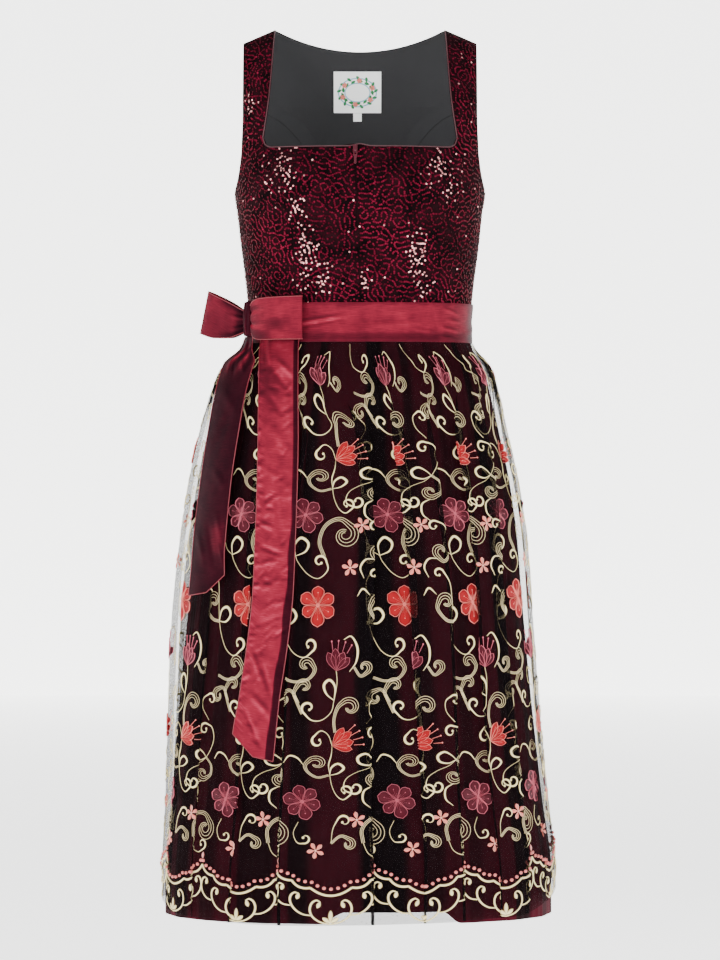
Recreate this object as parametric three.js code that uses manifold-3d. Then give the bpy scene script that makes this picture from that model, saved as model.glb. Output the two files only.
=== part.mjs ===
// A dirndl that keeps the shape it has when worn: a fitted bodice with wide straps and a square neck,
// a gathered skirt, and a net apron on a satin band that is tied in a bow beside the front.
// Millimetres, +Z up. The origin is midway between the inner ends of the two shoulder seams, where the
// wearer's shoulders carry the dress. The front looks along -Y, and +X is the viewer's right.
// Heights are given as a drop below the shoulders, and places round the body as a turn in degrees:
// 0 is the centre front, 90 the viewer's right side, -90 the left side, and 180 the centre back.
import * as THREE from "three";
import { mergeVertices } from "three/addons/utils/BufferGeometryUtils.js";
import Module from "manifold-3d";

const wasm = await Module();
wasm.setup();

// ---------------------------------------------------------------- driving dimensions
const SEAM_GAP = 0.4; // between two pieces that are sewn edge to edge
const LAYER_GAP = 0.3; // between a piece and the one that lies on it
const THICK = {
  velvet: 1.6, back: 1.2, lining: 1, skirt: 1.4, net: 1, sash: 1.4, bow: 1.2, label: 1, tape: 1,
};

const WAIST_DROP = 339; // seam between bodice and skirt
const HEM_DROP = 1022; // skirt hem
const SHOULDER_SLOPE = 0.43; // fall of the shoulder for each millimetre outwards
const STRAP_INNER = 98; // half distance between the inner edges of the straps, at the shoulder
const STRAP_OUTER = 135; // half distance between their outer edges
const NECK_FRONT = { drop: 141, half: 111, corner: 10, peak: 2.5 }; // square front neck
const NECK_BACK_FALL = 22; // how far the back neck dips at its middle
const BUST = { out: 68, drop: 186, rise: 6, spreadAcross: 42, spreadDown: 38 }; // fullness of the bust
const ARM_DROP = 188; // lowest point of the armhole
const SQUARENESS = 2.3; // exponent of every section: 2 is an ellipse, more is squarer

const BAND = { top: 319, bottom: 364, lift: 1.3 }; // waist band of the apron
const APRON_EDGE = 103; // turn at which each side edge of the apron lies
const NET_FOLD = { depth: 4, turn: 2.5, full: 520 }; // layer spacing, bend and drop of full depth
const BILLOW = { rise: 2, waves: 8.5, from: 380, to: 600 }; // slow waves of the whole apron

// Half width, and depth in front of and behind the shoulder seam, at each drop.
const BODY = [
  { drop: 0, half: 147, front: 0.2, back: 0.2 },
  { drop: 1.5, half: 147, front: 13, back: 12 },
  { drop: 6, half: 147, front: 26, back: 24 },
  { drop: 14, half: 147, front: 40, back: 37 },
  { drop: 28, half: 147, front: 55, back: 51 },
  { drop: 50, half: 147, front: 71, back: 65 },
  { drop: 80, half: 147, front: 87, back: 77 },
  { drop: 110, half: 147, front: 99, back: 84 },
  { drop: 141, half: 146.5, front: 108, back: 88 },
  { drop: 188, half: 145, front: 116, back: 88 },
  { drop: 216, half: 141, front: 114, back: 85 },
  { drop: 244, half: 138, front: 109, back: 81 },
  { drop: 272, half: 134.5, front: 103, back: 77 },
  { drop: 300, half: 131, front: 97, back: 74 },
  { drop: 339, half: 127, front: 91, back: 71 },
];

// The skirt, with its two sides apart because it hangs a little fuller on the viewer's left.
const SKIRT = [
  { drop: 339, left: 127, right: 127, front: 91, back: 71 },
  { drop: 364, left: 129, right: 128, front: 94, back: 76 },
  { drop: 394, left: 147, right: 143, front: 106, back: 98 },
  { drop: 429, left: 158, right: 152, front: 116, back: 112 },
  { drop: 464, left: 166, right: 160, front: 123, back: 122 },
  { drop: 534, left: 180, right: 174, front: 135, back: 136 },
  { drop: 603, left: 190, right: 182, front: 144, back: 146 },
  { drop: 661, left: 196, right: 186, front: 150, back: 153 },
  { drop: 777, left: 207, right: 196, front: 161, back: 166 },
  { drop: 893, left: 216, right: 209, front: 170, back: 178 },
  { drop: 975, left: 223, right: 219, front: 176, back: 186 },
  { drop: 1022, left: 223, right: 219, front: 179, back: 189 },
];

// How far the outer face of the apron stands off the skirt at its left side, front and right side.
const STANDOFF = [
  { drop: 364, left: 3, front: 3, right: 3 },
  { drop: 394, left: 13, front: 7.5, right: 8 },
  { drop: 429, left: 17, front: 12, right: 10 },
  { drop: 487, left: 20, front: 15.5, right: 12 },
  { drop: 661, left: 20, front: 15.5, right: 13 },
  { drop: 777, left: 15, front: 15.5, right: 12 },
  { drop: 893, left: 9, front: 15.5, right: 9 },
  { drop: 975, left: 6, front: 15.5, right: 7 },
  { drop: 1022, left: 6, front: 15.5, right: 7 },
];

// Edges of the bodice panels: distance from the centre line at each drop.
const NECK_SIDE = [{ drop: 0, out: 98 }, { drop: 80, out: 104 }, { drop: 131, out: 111 }];
const PRINCESS_SEAM = [
  { drop: 131, out: 111 },
  { drop: 142, out: 110 },
  { drop: 160, out: 105 },
  { drop: 180, out: 97 },
  { drop: 204, out: 86.5 },
  { drop: 226, out: 79.5 },
  { drop: 260, out: 76 },
  { drop: 340, out: 72 },
];
const ARMHOLE = [
  { drop: 0, out: 135 },
  { drop: 100, out: 135 },
  { drop: 131, out: 136 },
  { drop: 160, out: 139 },
  { drop: 174, out: 141.5 },
  { drop: 183, out: 144 },
];
const BACK_SEAM = [
  { drop: 84, out: 135 },
  { drop: 87, out: 127 },
  { drop: 100, out: 97 },
  { drop: 118, out: 77 },
  { drop: 134, out: 66 },
  { drop: 165, out: 57 },
  { drop: 204, out: 52 },
  { drop: 340, out: 44 },
];
const ZIP_LINE = [{ drop: 138, out: -5.5 }, { drop: 340, out: 1.5 }];

// Folds of the apron, from the viewer's left to the right. at_top and at_hem are turns in degrees,
// mid and hem say how far the fold laps over at mid height and at the hem, and lean which side is on top.
const APRON_FOLDS = [
  { at_top: -84, at_hem: -87, mid: 8, hem: 6, lean: 1 },
  { at_top: -68, at_hem: -70, mid: 14, hem: 10, lean: -1 },
  { at_top: -52, at_hem: -53, mid: 20, hem: 20, lean: 1 },
  { at_top: -36, at_hem: -36, mid: 26, hem: 26, lean: 1 },
  { at_top: -17, at_hem: -20, mid: 14, hem: 28, lean: -1 },
  { at_top: 1, at_hem: 2, mid: 28, hem: 26, lean: 1 },
  { at_top: 11, at_hem: 16, mid: 8, hem: 38, lean: -1 },
  { at_top: 24, at_hem: 28, mid: 22, hem: 14, lean: 1 },
  { at_top: 38, at_hem: 41, mid: 26, hem: 18, lean: -1 },
  { at_top: 51, at_hem: 53, mid: 12, hem: 24, lean: 1 },
  { at_top: 66, at_hem: 69, mid: 16, hem: 14, lean: -1 },
  { at_top: 83, at_hem: 87, mid: 9, hem: 6, lean: 1 },
];

// Folds of the skirt: the turn where each one stands out, its spread in degrees and its rise at the hem.
const SKIRT_FOLDS = [
  { at: -84, spread: 5, rise: 2.5 },
  { at: -66, spread: 5, rise: 2 },
  { at: -47, spread: 6, rise: 2.5 },
  { at: -27, spread: 5, rise: 2.5 },
  { at: -9, spread: 5, rise: 1.5 },
  { at: 12, spread: 6, rise: 1 },
  { at: 31, spread: 5, rise: 2.5 },
  { at: 50, spread: 5, rise: 2.5 },
  { at: 69, spread: 5, rise: 2 },
  { at: 88, spread: 5, rise: 2.5 },
  { at: 110, spread: 3.5, rise: 7 },
  { at: 122, spread: 5, rise: 12 },
  { at: 138, spread: 6, rise: 10 },
  { at: 152, spread: 5, rise: 15 },
  { at: 167, spread: 5.5, rise: 12 },
  { at: 183, spread: 5, rise: 14 },
  { at: 199, spread: 6, rise: 10 },
  { at: 213, spread: 5, rise: 15 },
  { at: 229, spread: 5.5, rise: 11 },
  { at: 241, spread: 4.5, rise: 11 },
  { at: 251, spread: 3.5, rise: 6 },
];

// Drop of the apron's lower edge, and lift of the skirt hem, at each turn.
const APRON_HEM = [
  { turn: -104, drop: 1004 },
  { turn: -75, drop: 1012 },
  { turn: -45, drop: 1020 },
  { turn: -20, drop: 1023 },
  { turn: 10, drop: 1021 },
  { turn: 50, drop: 1015 },
  { turn: 75, drop: 1000 },
  { turn: 104, drop: 985 },
];
const HEM_LIFT = { from: -6, to: 25, soft: 3, rise: 13 };

// The bow at the viewer's left of the front.
const BOW_TURN = -64;
const KNOT = { wide: 17, high: 42, deep: 15, top: 315, lift: 2.6, pleat: 0.05 };
const LOOP = { long: 66, columns: 15, rows: 3, open: 24, puff: 6.5 };
const LOOPS = [
  { name: "bow_loop_left", reach: [-54, 38], lift: 16, near: [315, 356], far: [303, 351] },
  { name: "bow_loop_right", turnEnd: -25.5, tuck: 0.9, lift: 16.5, near: [314, 357], far: [311, 359] },
];
const TAILS = {
  // centre and width are the strip's place and width as seen from the front
  tail_short: [
    { drop: 357.4, centre: -127.5, wide: 9, lift: 9 },
    { drop: 371, centre: -131, wide: 14, lift: 8 },
    { drop: 388, centre: -139, wide: 36, lift: 8 },
    { drop: 420, centre: -148, wide: 36, lift: 8 },
    { drop: 465, centre: -156, wide: 36, lift: 6.5 },
    { drop: 510, centre: -163, wide: 36, lift: 5 },
    { drop: 560, centre: -169, wide: 37, lift: 4 },
    { drop: 605, centre: -173, wide: 38, lift: 5 },
    { drop: 642, centre: -175, wide: 42, lift: 5 },
  ],
  tail_long: [
    { drop: 344, centre: -90, wide: 38, lift: 2.4 },
    { drop: 362, centre: -92, wide: 44, lift: 3 },
    { drop: 376, centre: -93, wide: 45, lift: 4.5 },
    { drop: 410, centre: -93, wide: 45, lift: 5 },
    { drop: 470, centre: -93, wide: 46, lift: 4 },
    { drop: 530, centre: -94, wide: 46, lift: 5 },
    { drop: 590, centre: -96, wide: 46, lift: 4 },
    { drop: 650, centre: -98.5, wide: 46, lift: 5 },
    { drop: 710, centre: -105, wide: 46, lift: 4 },
    { drop: 770, centre: -114, wide: 46, lift: 5 },
    { drop: 824, centre: -121, wide: 46, lift: 5 },
  ],
};
const TAIL_COLUMNS = 5;
const TAIL_SLANT = { tail_short: -24, tail_long: -26 }; // drop of the left corner less that of the right
const TAIL_TIP = { tail_short: 8, tail_long: 18 }; // how far the middle of the end hangs below its corners

const LABEL = { left: -31, right: 25, top: 42, bottom: 90 };
const SIZE_TAG = { left: -8, right: 2, top: 90.4, bottom: 100 };
const ZIP_TAPE = { half: 13, top: 143, bottom: 336 };
const SLIDER = { wide: 5, high: 9, deep: 2.2, drop: 140.5, archWide: 1.5, archDeep: 2.9, bar: 0.8 };
const PULL = { wide: 4.4, long: 18, thick: 0.9, slotWide: 2.3, slotLong: 5.6, bar: 1.1 };

const BODICE_DROPS = [
  0, 1.5, 6, 14, 28, 46, 66, 84, 87, 100, 116, 131, 139, 148, 160, 174, 183, 188, 206, 230, 260, 296, 338.8,
];
const SKIRT_DROPS = [339.2, 352, 364, 384, 410, 445, 500, 570, 650, 740, 830, 925, HEM_DROP];
const APRON_DROPS = [364.4, 374, 392, 420, 460, 520, 600, 690, 780, 870, 950, HEM_DROP];

// ---------------------------------------------------------------- colours and surfaces
function fabric(color, roughness, metalness = 0) {
  return new THREE.MeshStandardMaterial({ color, roughness, metalness });
}
const MATERIAL = {
  velvet: fabric("#3a0f1e", 0.85),
  lining: fabric("#3a3a3b", 0.9),
  skirt: fabric("#6a1528", 0.75),
  net: fabric("#2a1216", 0.8),
  satin: fabric("#9c3648", 0.35),
  label: fabric("#e8ece6", 0.8),
  tape: fabric("#2a0c14", 0.85),
  metal: fabric("#d9b9b4", 0.35, 1),
};

// ---------------------------------------------------------------- curves
const radians = THREE.MathUtils.degToRad;
const lerp = THREE.MathUtils.lerp;
const clamp = THREE.MathUtils.clamp;
const smoothstep = THREE.MathUtils.smoothstep;

// A smooth curve through one column of a table, without overshoot between its rows.
function curve(table, column, key = "drop", stretch = (value) => value) {
  const xs = table.map((row) => stretch(row[key]));
  const ys = table.map((row) => row[column]);
  const last = xs.length - 1;
  const slopes = xs.slice(1).map((x, i) => (ys[i + 1] - ys[i]) / (x - xs[i]));
  const tangents = xs.map((_, i) => {
    if (i === 0) return slopes[0];
    if (i === last) return slopes[last - 1];
    const [before, after] = [slopes[i - 1], slopes[i]];
    return before * after <= 0 ? 0 : (2 * before * after) / (before + after);
  });
  return (value) => {
    const x = clamp(stretch(value), xs[0], xs[last]);
    let i = 0;
    while (i < last - 1 && x > xs[i + 1]) i += 1;
    const span = xs[i + 1] - xs[i];
    const t = (x - xs[i]) / span;
    const rest = 1 - t;
    return (
      ys[i] * (1 + 2 * t) * rest * rest +
      ys[i + 1] * (3 - 2 * t) * t * t +
      span * (tangents[i] * t * rest * rest - tangents[i + 1] * t * t * rest)
    );
  };
}

const byRoot = (drop) => Math.sqrt(Math.max(drop, 0));
const body = {
  half: curve(BODY, "half", "drop", byRoot),
  front: curve(BODY, "front", "drop", byRoot),
  back: curve(BODY, "back", "drop", byRoot),
};
const skirt = {
  left: curve(SKIRT, "left"),
  right: curve(SKIRT, "right"),
  front: curve(SKIRT, "front"),
  back: curve(SKIRT, "back"),
};
const standoff = {
  left: curve(STANDOFF, "left"),
  front: curve(STANDOFF, "front"),
  right: curve(STANDOFF, "right"),
};
const neckSide = curve(NECK_SIDE, "out");
const princessSeam = curve(PRINCESS_SEAM, "out");
const armhole = curve(ARMHOLE, "out");
const backSeam = curve(BACK_SEAM, "out");
const zipLine = curve(ZIP_LINE, "out");
const apronHem = curve(APRON_HEM, "drop", "turn");

// ---------------------------------------------------------------- forms
// One point of a rounded section with the given half width and depths.
function sectionPoint(turn, left, right, front, back) {
  const power = 2 / SQUARENESS;
  const sine = Math.sin(radians(turn));
  const cosine = Math.cos(radians(turn));
  const half = sine < 0 ? left : right;
  const depth = cosine < 0 ? back : front;
  const x = Math.sign(sine) * half * Math.abs(sine) ** power;
  const y = -Math.sign(cosine) * depth * Math.abs(cosine) ** power;
  return [x, y];
}

// The turn at which a section of this half width lies at distance x from the centre line, in front.
function turnAt(x, half) {
  const sine = Math.min(1, Math.abs(x) / half) ** (SQUARENESS / 2);
  return (Math.sign(x) * Math.asin(sine) * 180) / Math.PI;
}

function bodyPoint(turn, root) {
  const drop = root * root;
  const half = body.half(drop);
  let [x, y] = sectionPoint(turn, half, half, body.front(drop), body.back(drop));
  const slope = Math.max(0, Math.abs(x) - STRAP_INNER) * SHOULDER_SLOPE * clamp(1 - drop / 90, 0, 1);
  if (Math.abs(turn) < 90) {
    const across = (Math.abs(x) - BUST.out) / BUST.spreadAcross;
    const down = (drop - BUST.drop) / BUST.spreadDown;
    y -= BUST.rise * Math.exp(-across * across - down * down);
  }
  return new THREE.Vector3(x, y, -drop - slope);
}

function skirtRing(turn, drop) {
  const [left, right] = [skirt.left(drop), skirt.right(drop)];
  const [x, y] = sectionPoint(turn, left, right, skirt.front(drop), skirt.back(drop));
  return new THREE.Vector3(x, y, -drop);
}

// A point moved off a ring of constant height, square to it.
function offRing(ring, turn, drop, distance) {
  const step = 0.25;
  const ahead = ring(turn + step, drop);
  const behind = ring(turn - step, drop);
  const outward = new THREE.Vector3(ahead.y - behind.y, behind.x - ahead.x, 0).normalize();
  return ring(turn, drop).addScaledVector(outward, distance);
}

// Length along a ring for one degree of turn.
function reachPerDegree(ring, turn, drop) {
  return ring(turn + 0.5, drop).distanceTo(ring(turn - 0.5, drop));
}

// The bodice's outer face moved inwards by inset, square to the face.
function bodicePoint(turn, drop, inset) {
  const root = byRoot(drop);
  const step = 0.02;
  const acrossStep = 0.3;
  const upper = bodyPoint(turn, Math.max(0, root - step));
  const lower = bodyPoint(turn, root + step);
  const left = bodyPoint(turn - acrossStep, root);
  const right = bodyPoint(turn + acrossStep, root);
  const outward = right.sub(left).cross(upper.sub(lower)).normalize();
  if (drop === 0) outward.setY(0).normalize();
  return bodyPoint(turn, root).addScaledVector(outward, -inset);
}

// ---------------------------------------------------------------- walls
// A closed wall between an outer and an inner grid of points, both [row][column].
function wallBetween(outer, inner, ring = false) {
  const rows = outer.length;
  const columns = outer[0].length;
  const points = [...outer.flat(), ...inner.flat()];
  const triangles = [];
  const outerAt = (r, c) => r * columns + (c % columns);
  const innerAt = (r, c) => rows * columns + outerAt(r, c);
  const quad = (a, b, c, d) => triangles.push(a, b, c, a, c, d);
  const lastColumn = ring ? columns : columns - 1;
  for (let r = 0; r < rows - 1; r += 1) {
    for (let c = 0; c < lastColumn; c += 1) {
      quad(outerAt(r, c), outerAt(r + 1, c), outerAt(r + 1, c + 1), outerAt(r, c + 1));
      quad(innerAt(r, c), innerAt(r, c + 1), innerAt(r + 1, c + 1), innerAt(r + 1, c));
    }
  }
  for (let c = 0; c < lastColumn; c += 1) {
    quad(outerAt(0, c), outerAt(0, c + 1), innerAt(0, c + 1), innerAt(0, c));
    quad(outerAt(rows - 1, c), innerAt(rows - 1, c), innerAt(rows - 1, c + 1), outerAt(rows - 1, c + 1));
  }
  if (!ring) {
    for (let r = 0; r < rows - 1; r += 1) {
      quad(outerAt(r, 0), innerAt(r, 0), innerAt(r + 1, 0), outerAt(r + 1, 0));
      const end = columns - 1;
      quad(outerAt(r, end), outerAt(r + 1, end), innerAt(r + 1, end), innerAt(r, end));
    }
  }
  return solidFrom(points, triangles);
}

// A geometry from points and triangles, with its faces turned outwards.
function solidFrom(points, triangles) {
  let volume = 0;
  for (let i = 0; i < triangles.length; i += 3) {
    const [a, b, c] = [points[triangles[i]], points[triangles[i + 1]], points[triangles[i + 2]]];
    volume += a.dot(b.clone().cross(c));
  }
  if (volume < 0) triangles.reverse();
  const geometry = new THREE.BufferGeometry();
  const numbers = points.flatMap((p) => [p.x, p.y, p.z]);
  geometry.setAttribute("position", new THREE.Float32BufferAttribute(numbers, 3));
  geometry.setIndex(triangles);
  return geometry;
}

// The second face of a sheet: every point of the grid moved back, square to the sheet.
function backedOff(grid, thickness, ring = false) {
  const columns = grid[0].length;
  return grid.map((row, r) =>
    row.map((point, c) => {
      const before = ring ? row[(c + columns - 1) % columns] : row[Math.max(0, c - 1)];
      const after = ring ? row[(c + 1) % columns] : row[Math.min(columns - 1, c + 1)];
      const above = grid[Math.max(0, r - 1)][c];
      const below = grid[Math.min(grid.length - 1, r + 1)][c];
      const toAfter = after.clone().sub(point);
      const fromBefore = point.clone().sub(before);
      const along = toAfter.normalize().add(fromBefore.normalize());
      const outward = along.cross(above.clone().sub(below)).normalize();
      return point.clone().addScaledVector(outward, -thickness);
    }),
  );
}

const dress = new THREE.Group();
function add(name, geometry, material, parent = dress) {
  const mesh = new THREE.Mesh(geometry, material);
  mesh.name = name;
  parent.add(mesh);
  return mesh;
}

// ---------------------------------------------------------------- bodice
// A panel of the bodice: spots is a grid of { turn, drop }, and inset how deep its outer face lies.
function panel(spots, thickness, inset = 0) {
  const face = (depth) => spots.map((row) => row.map(({ turn, drop }) => bodicePoint(turn, drop, depth)));
  return wallBetween(face(inset), face(inset + thickness));
}

const across = (count) => Array.from({ length: count + 1 }, (_, i) => i / count);
const seamDrops = BODICE_DROPS.filter((drop) => drop >= NECK_FRONT.drop - NECK_FRONT.corner);
const halfGap = SEAM_GAP / 2;

// How far the front neck edge lies below the top of the princess seam, from the centre (0) to the seam (1).
function neckFall(share) {
  const beyond = Math.max(0, share * NECK_FRONT.half - (NECK_FRONT.half - NECK_FRONT.corner));
  const round = Math.sqrt(Math.max(0, NECK_FRONT.corner ** 2 - beyond ** 2));
  const peak = NECK_FRONT.peak * Math.exp(-((share * 14) ** 2));
  return round - peak;
}

for (const side of [-1, 1]) {
  const name = side < 0 ? "left" : "right";

  const centreSpots = seamDrops.map((seamDrop, row) => {
    const fade = (1 - row / (seamDrops.length - 1)) ** 2;
    return across(8).map((share) => {
      const drop = seamDrop + neckFall(share) * fade;
      const half = body.half(drop);
      const inner = turnAt(zipLine(drop) + side * halfGap, half);
      const outer = turnAt(side * (princessSeam(drop) - halfGap), half);
      return { turn: lerp(inner, outer, share), drop };
    });
  });
  add(`front_centre_${name}`, panel(centreSpots, THICK.velvet), MATERIAL.velvet);

  const sideSpots = BODICE_DROPS.map((drop) => {
    const half = body.half(drop);
    const neckDrop = NECK_FRONT.drop - NECK_FRONT.corner;
    const edge = drop < neckDrop ? neckSide(drop) : princessSeam(drop) + halfGap;
    const inner = turnAt(edge, half);
    const outer = drop < ARM_DROP ? turnAt(armhole(drop), half) : 90 - halfGap / 2;
    return across(6).map((share) => ({ turn: side * lerp(inner, outer, share), drop }));
  });
  add(`front_side_${name}`, panel(sideSpots, THICK.velvet), MATERIAL.velvet);
}

// The back is one wide centre panel that runs up into both straps, and a small panel under each arm.
// The lining repeats it inside, with fewer columns.
function backCentreSpots(drops, shares) {
  return drops.map((level) => {
    const fade = clamp(1 - level / BACK_SEAM[0].drop, 0, 1);
    return shares.map((share) => {
      const edge = level <= BACK_SEAM[0].drop ? armhole(level) : backSeam(level) - halfGap;
      const x = share * edge;
      const neck = Math.max(0, 1 - (x / STRAP_INNER) ** 2) * NECK_BACK_FALL;
      const drop = level + neck * fade;
      const turn = turnAt(x, body.half(drop));
      return { turn: 180 - turn, drop };
    });
  });
}
function backSideSpots(side, drops, columns) {
  return drops.map((drop) => {
    const half = body.half(drop);
    const inner = turnAt(backSeam(drop) + halfGap, half);
    const outer = drop < ARM_DROP ? turnAt(armhole(drop), half) : 90 - halfGap / 2;
    return across(columns).map((share) => ({ turn: side * (180 - lerp(inner, outer, share)), drop }));
  });
}
const strapShare = STRAP_INNER / STRAP_OUTER;
const backShares = [-1, -0.86, -strapShare, -0.56, -0.37, -0.18, 0, 0.18, 0.37, 0.56, strapShare, 0.86, 1];
const liningShares = backShares.filter((share) => Math.abs(share) !== 0.56);
const backSideDrops = BODICE_DROPS.filter((drop) => drop > BACK_SEAM[0].drop);
const liningInset = THICK.back + LAYER_GAP + 0.2;

add("back_centre", panel(backCentreSpots(BODICE_DROPS, backShares), THICK.back), MATERIAL.velvet);
const liningSpots = backCentreSpots(BODICE_DROPS, liningShares);
add("lining_centre", panel(liningSpots, THICK.lining, liningInset), MATERIAL.lining);
for (const side of [-1, 1]) {
  const name = side < 0 ? "left" : "right";
  add(`back_side_${name}`, panel(backSideSpots(side, backSideDrops, 4), THICK.back), MATERIAL.velvet);
  const liningSide = panel(backSideSpots(side, backSideDrops, 2), THICK.lining, liningInset);
  add(`lining_side_${name}`, liningSide, MATERIAL.lining);
}

// A label lies on the lining, so it is made from the same face, moved towards the front.
function liningPatch({ left, right, top, bottom }, columns, rows) {
  const inset = liningInset + THICK.lining + LAYER_GAP;
  const spots = across(rows).map((down) => {
    const drop = lerp(top, bottom, down);
    const half = body.half(drop);
    return across(columns).map((share) => ({ turn: 180 - turnAt(lerp(left, right, share), half), drop }));
  });
  return panel(spots, THICK.label, inset + 0.5);
}
add("label", liningPatch(LABEL, 4, 3), MATERIAL.label);
add("size_tag", liningPatch(SIZE_TAG, 2, 1), MATERIAL.label);

// ---------------------------------------------------------------- zip
// The tape lies behind the meeting edges of the two front panels.
const tapeSpots = [ZIP_TAPE.top, 160, 183, 206, 230, 260, 296, ZIP_TAPE.bottom].map((drop) => {
  const half = body.half(drop);
  const centre = zipLine(drop);
  const columns = [-1, -0.5, 0, 0.5, 1];
  return columns.map((share) => ({ turn: turnAt(centre + share * ZIP_TAPE.half, half), drop }));
});
add("zip_tape", panel(tapeSpots, THICK.tape, THICK.velvet + LAYER_GAP + 0.2), MATERIAL.tape);

function solidOf(geometry) {
  const bare = geometry.clone();
  bare.deleteAttribute("normal");
  bare.deleteAttribute("uv");
  const merged = mergeVertices(bare);
  const vertProperties = new Float32Array(merged.attributes.position.array);
  const triVerts = new Uint32Array(merged.index.array);
  return new wasm.Manifold(new wasm.Mesh({ numProp: 3, vertProperties, triVerts }));
}
function geometryOf(solid) {
  const { vertProperties, triVerts } = solid.getMesh();
  const geometry = new THREE.BufferGeometry();
  geometry.setAttribute("position", new THREE.Float32BufferAttribute(vertProperties, 3));
  geometry.setIndex(new THREE.Uint32BufferAttribute(triVerts, 1));
  return geometry;
}

// The slider and its pull are drawn upright, facing -Y, and leaned back against the front.
const zipTop = bodicePoint(turnAt(zipLine(SLIDER.drop), body.half(SLIDER.drop)), SLIDER.drop, 0);
const zipBelow = bodicePoint(turnAt(zipLine(SLIDER.drop), body.half(SLIDER.drop)), SLIDER.drop + 14, 0);
const zipLean = Math.atan2(zipTop.y - zipBelow.y, zipTop.z - zipBelow.z);
const zipGroup = new THREE.Group();
zipGroup.position.set(zipTop.x, zipTop.y, zipTop.z);
zipGroup.rotation.x = -zipLean;
dress.add(zipGroup);

function sliderGeometry() {
  const block = new THREE.BoxGeometry(SLIDER.wide, SLIDER.deep, SLIDER.high);
  block.translate(0, -LAYER_GAP - SLIDER.deep / 2, -SLIDER.high / 2);
  const arch = new THREE.Shape();
  const foot = 0.4;
  const archHigh = SLIDER.high - 2;
  arch.moveTo(0, foot);
  arch.lineTo(0, -SLIDER.archDeep + 0.8);
  arch.lineTo(0.8, -SLIDER.archDeep);
  arch.lineTo(archHigh - 0.8, -SLIDER.archDeep);
  arch.lineTo(archHigh, -SLIDER.archDeep + 0.8);
  arch.lineTo(archHigh, foot);
  arch.lineTo(archHigh - SLIDER.bar - 0.3, foot);
  arch.lineTo(archHigh - SLIDER.bar - 0.3, -SLIDER.archDeep + SLIDER.bar);
  arch.lineTo(SLIDER.bar + 0.3, -SLIDER.archDeep + SLIDER.bar);
  arch.lineTo(SLIDER.bar + 0.3, foot);
  arch.closePath();
  const bridge = new THREE.ExtrudeGeometry(arch, { depth: SLIDER.archWide, bevelEnabled: false });
  // drawn as (down, out): down the slider becomes -Z, out becomes -Y, and the width runs along X
  const upright = new THREE.Matrix4();
  upright.set(0, 0, 1, -SLIDER.archWide / 2, 0, 1, 0, 0, -1, 0, 0, 0, 0, 0, 0, 1);
  bridge.applyMatrix4(upright);
  bridge.translate(0, -LAYER_GAP - SLIDER.deep, -1);
  return geometryOf(solidOf(block).add(solidOf(bridge)));
}
add("zip_slider", sliderGeometry(), MATERIAL.metal, zipGroup);

// A slim drop-shaped pull: its top bar runs under the bridge, and its slot clears the bridge.
const PIVOT = {
  y: -LAYER_GAP - SLIDER.deep - (SLIDER.archDeep - SLIDER.bar) / 2,
  z: -SLIDER.high + 1 + SLIDER.bar + 0.3 + 1.1,
};
function pullGeometry() {
  const half = PULL.wide / 2;
  const top = PULL.bar / 2;
  const outline = new THREE.Shape();
  outline.moveTo(-half + 0.5, top);
  outline.lineTo(half - 0.5, top);
  outline.lineTo(half, top - 0.5);
  outline.lineTo(half, -PULL.slotLong - 1.2);
  outline.quadraticCurveTo(half * 0.5, -PULL.long * 0.55, half * 0.62, -PULL.long * 0.8);
  outline.quadraticCurveTo(half * 0.7, -PULL.long + top, 0, -PULL.long + top);
  outline.quadraticCurveTo(-half * 0.7, -PULL.long + top, -half * 0.62, -PULL.long * 0.8);
  outline.quadraticCurveTo(-half * 0.5, -PULL.long * 0.55, -half, -PULL.slotLong - 1.2);
  outline.lineTo(-half, top - 0.5);
  outline.closePath();
  const slot = new THREE.Path();
  const slotHalf = PULL.slotWide / 2;
  slot.moveTo(-slotHalf, -PULL.bar / 2);
  slot.lineTo(-slotHalf, -PULL.bar / 2 - PULL.slotLong);
  slot.lineTo(slotHalf, -PULL.bar / 2 - PULL.slotLong);
  slot.lineTo(slotHalf, -PULL.bar / 2);
  slot.closePath();
  outline.holes.push(slot);
  const plain = { depth: PULL.thick, bevelEnabled: false, curveSegments: 5 };
  const plate = new THREE.ExtrudeGeometry(outline, plain);
  plate.translate(0, 0, -PULL.thick / 2);
  plate.rotateX(Math.PI / 2);
  return plate;
}
const pull = add("zip_pull", pullGeometry(), MATERIAL.metal, zipGroup);
pull.position.set(0, PIVOT.y, PIVOT.z);

// ---------------------------------------------------------------- skirt
// Rise of the skirt's folds at this turn: nothing at the waist, full at the hem.
function skirtFold(turn, drop) {
  const grow = smoothstep(drop, 360, 860);
  let rise = 0;
  for (const fold of SKIRT_FOLDS) {
    const apart = ((turn - fold.at + 540) % 360) - 180;
    rise += fold.rise * Math.exp(-((apart / fold.spread) ** 2));
  }
  return rise * grow;
}
function hemLift(turn) {
  const { from, to, soft, rise } = HEM_LIFT;
  return rise * smoothstep(turn, from - soft, from + soft) * (1 - smoothstep(turn, to - soft, to + soft));
}

// Small gathers at the seam: every second column stands out a little, down to where the cloth opens.
const GATHER = { rise: 0.9, from: WAIST_DROP, to: 430 };
function gather(column, drop) {
  const fade = 1 - smoothstep(drop, GATHER.from, GATHER.to);
  return (column % 2 === 0 ? 1 : -1) * GATHER.rise * fade;
}

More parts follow.
